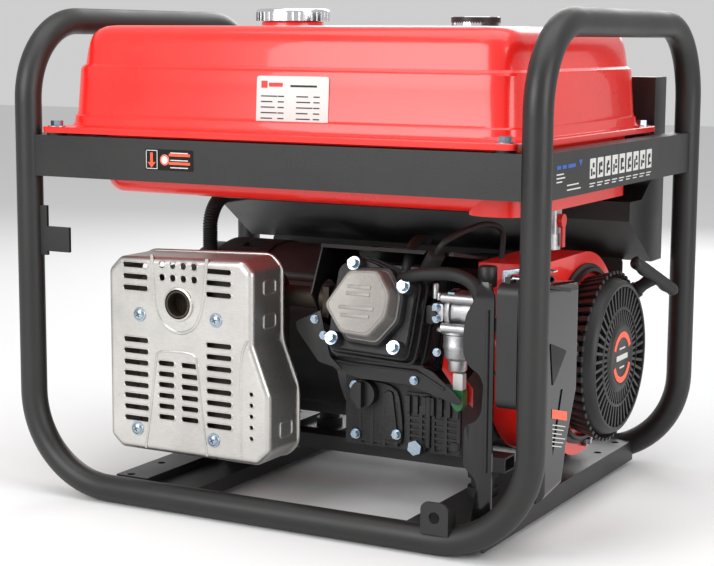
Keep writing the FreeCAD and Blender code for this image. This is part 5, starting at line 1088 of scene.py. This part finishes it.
# %% Air cleaner's cover
panel = bmesh.new()
slab(panel, rounded([(330.2, -205, 236), (330.2, -158, 221), (330.2, -196, 188)], 3), (0.8, 0, 0), 0.3)
slab(panel, rounded([(330.2, -214, 300), (330.2, -150, 288), (330.2, -150, 284), (330.2, -214, 296)], 1),
     (0.8, 0, 0), 0.3)
piece("cleaner_cover_relief", panel, "rubber")
flash = bmesh.new()
slab(flash, [(330.2, -196, 163), (330.2, -152, 152), (330.2, -152, 142), (330.2, -196, 153)], (0.4, 0, 0))
piece("cleaner_cover_flash", flash, "orange_plastic")
notes = bmesh.new()
for k in range(6):
    z = 146 - 4.6 * k
    wide = 38 - 5 * (k % 3)
    slab(notes, [(330.2, -194, z), (330.2, -194 + wide, z - wide * 0.25),
                 (330.2, -194 + wide, z - 1.1 - wide * 0.25),
                 (330.2, -194, z - 1.1)], (0.3, 0, 0))
piece("cleaner_cover_lines", notes, "white_label")

# %% [markdown]
# ## The control panel's print
# The panel's fittings come from the shared parts; their faces need print: a scale on the meter, bars
# beside the sockets and a frame round each group.

# %% Panel print
print_face = bmesh.new()
PRINT_Y = 234.6
bars(print_face, (0, PRINT_Y, 0), (-1, 0, 0), (0, 0, 1), (0, 1, 0),
     [(left, low, wide, tall) for left, low, wide, tall in
      [(30, 300, 70, 1), (30, 372, 70, 1), (112, 300, 70, 1), (112, 372, 70, 1), (196, 300, 84, 1),
       (196, 390, 84, 1),
       (-160, 386, 60, 1), (-160, 474, 60, 1), (-160, 386, 1, 88), (-101, 386, 1, 88)]]
     + [(36, 436 - 5 * r, 56 - 8 * (r % 2), 1.4) for r in range(3)]
     + [(118, 436 - 5 * r, 56 - 8 * (r % 2), 1.4) for r in range(3)]
     + [(196, 440 + 6 * r, 70 - 10 * (r % 3), 1.6) for r in range(5)]
     + [(-40, 470, 130, 3), (-20, 462, 90, 1.6)])
piece("panel_print", print_face, "white_label")
rim_marks = bmesh.new()
bars(rim_marks, (0, PRINT_Y, 0), (-1, 0, 0), (0, 0, 1), (0, 1, 0), [(-296, 502, 592, 3), (-296, 279, 592, 3)])
piece("panel_stripes", rim_marks, "orange_plastic")

# %% Meter face and socket pins
METER = (130.0, 430.0)
METER_OUT = 1.05
SOCKETS = [((-60.0, 335.0), 19.0), ((-150.0, 335.0), 19.0), ((-238.0, 345.0), 27.0)]
FASCIA_OUT = 234.5
meter_face = bmesh.new()
slab(meter_face, standing(METER[0] - 22, METER[0] + 22, METER[1] - 16.5, METER[1] + 22.5,
                         FASCIA_OUT + METER_OUT, 3), (0, 0.5, 0))
piece("meter_face", meter_face, "ivory_plastic")
scale = bmesh.new()
pivot = Vector((METER[0], FASCIA_OUT + METER_OUT + 0.5, METER[1] - 12))
for k in range(11):
    swing = math.radians(45 + 9 * k)
    way = Vector((math.cos(swing), 0, math.sin(swing)))
    side = Vector((way.z, 0, -way.x)) * (0.6 if k % 5 == 0 else 0.3)
    slab(scale, [pivot + way * 22 - side, pivot + way * 22 + side, pivot + way * 27 + side,
                 pivot + way * 27 - side],
         (0, 0.3, 0))
needle = Vector((math.cos(2.1), 0, math.sin(2.1)))
beside = Vector((needle.z, 0, -needle.x)) * 0.5
slab(scale, [pivot - beside, pivot + beside, pivot + needle * 24 + beside * 0.3,
             pivot + needle * 24 - beside * 0.3],
     (0, 0.5, 0))
piece("meter_scale", scale, "rubber")
floors = bmesh.new()
pins = bmesh.new()
for (x, z), radius in SOCKETS:
    turned(floors, [(0, 214.2), (radius - 0.3, 214.2), (radius - 0.3, 215), (0, 215)], (x, 0, z), (0, 1, 0),
           36)
    holes = [(-9.5, 0), (9.5, 0)] if radius < 20 else [(-9, -7), (9, -7), (0, 10)]
    for dx, dz in holes:
        turned(pins, [(0, 215), (2.6, 215), (2.6, 215.4), (0, 215.4)], (x + dx, 0, z + dz), (0, 1, 0), 16)
    for spot in (-1, 1):
        slab(pins, [(x - 2.5, 215, z + spot * (radius - 3) - 1.5),
                    (x + 2.5, 215, z + spot * (radius - 3) - 1.5),
                    (x + 2.5, 215, z + spot * (radius - 3) + 1.5), (x - 2.5, 215,
                                                                    z + spot * (radius - 3) + 1.5)],
             (0, 4, 0), 0.4)
piece("socket_floors", floors, "black_plastic")
piece("socket_contacts", pins, "cast_bright")

# %% Shallow reflections on black paint
BLACKS = ("frame_black", "sheet_black", "black_plastic", "cast_dark", "rubber")
SHALLOW = 0.14
for name in BLACKS:
    for node in bpy.data.materials[name].node_tree.nodes:
        if node.type == "BSDF_PRINCIPLED":
            node.inputs["Specular IOR Level"].default_value = SHALLOW
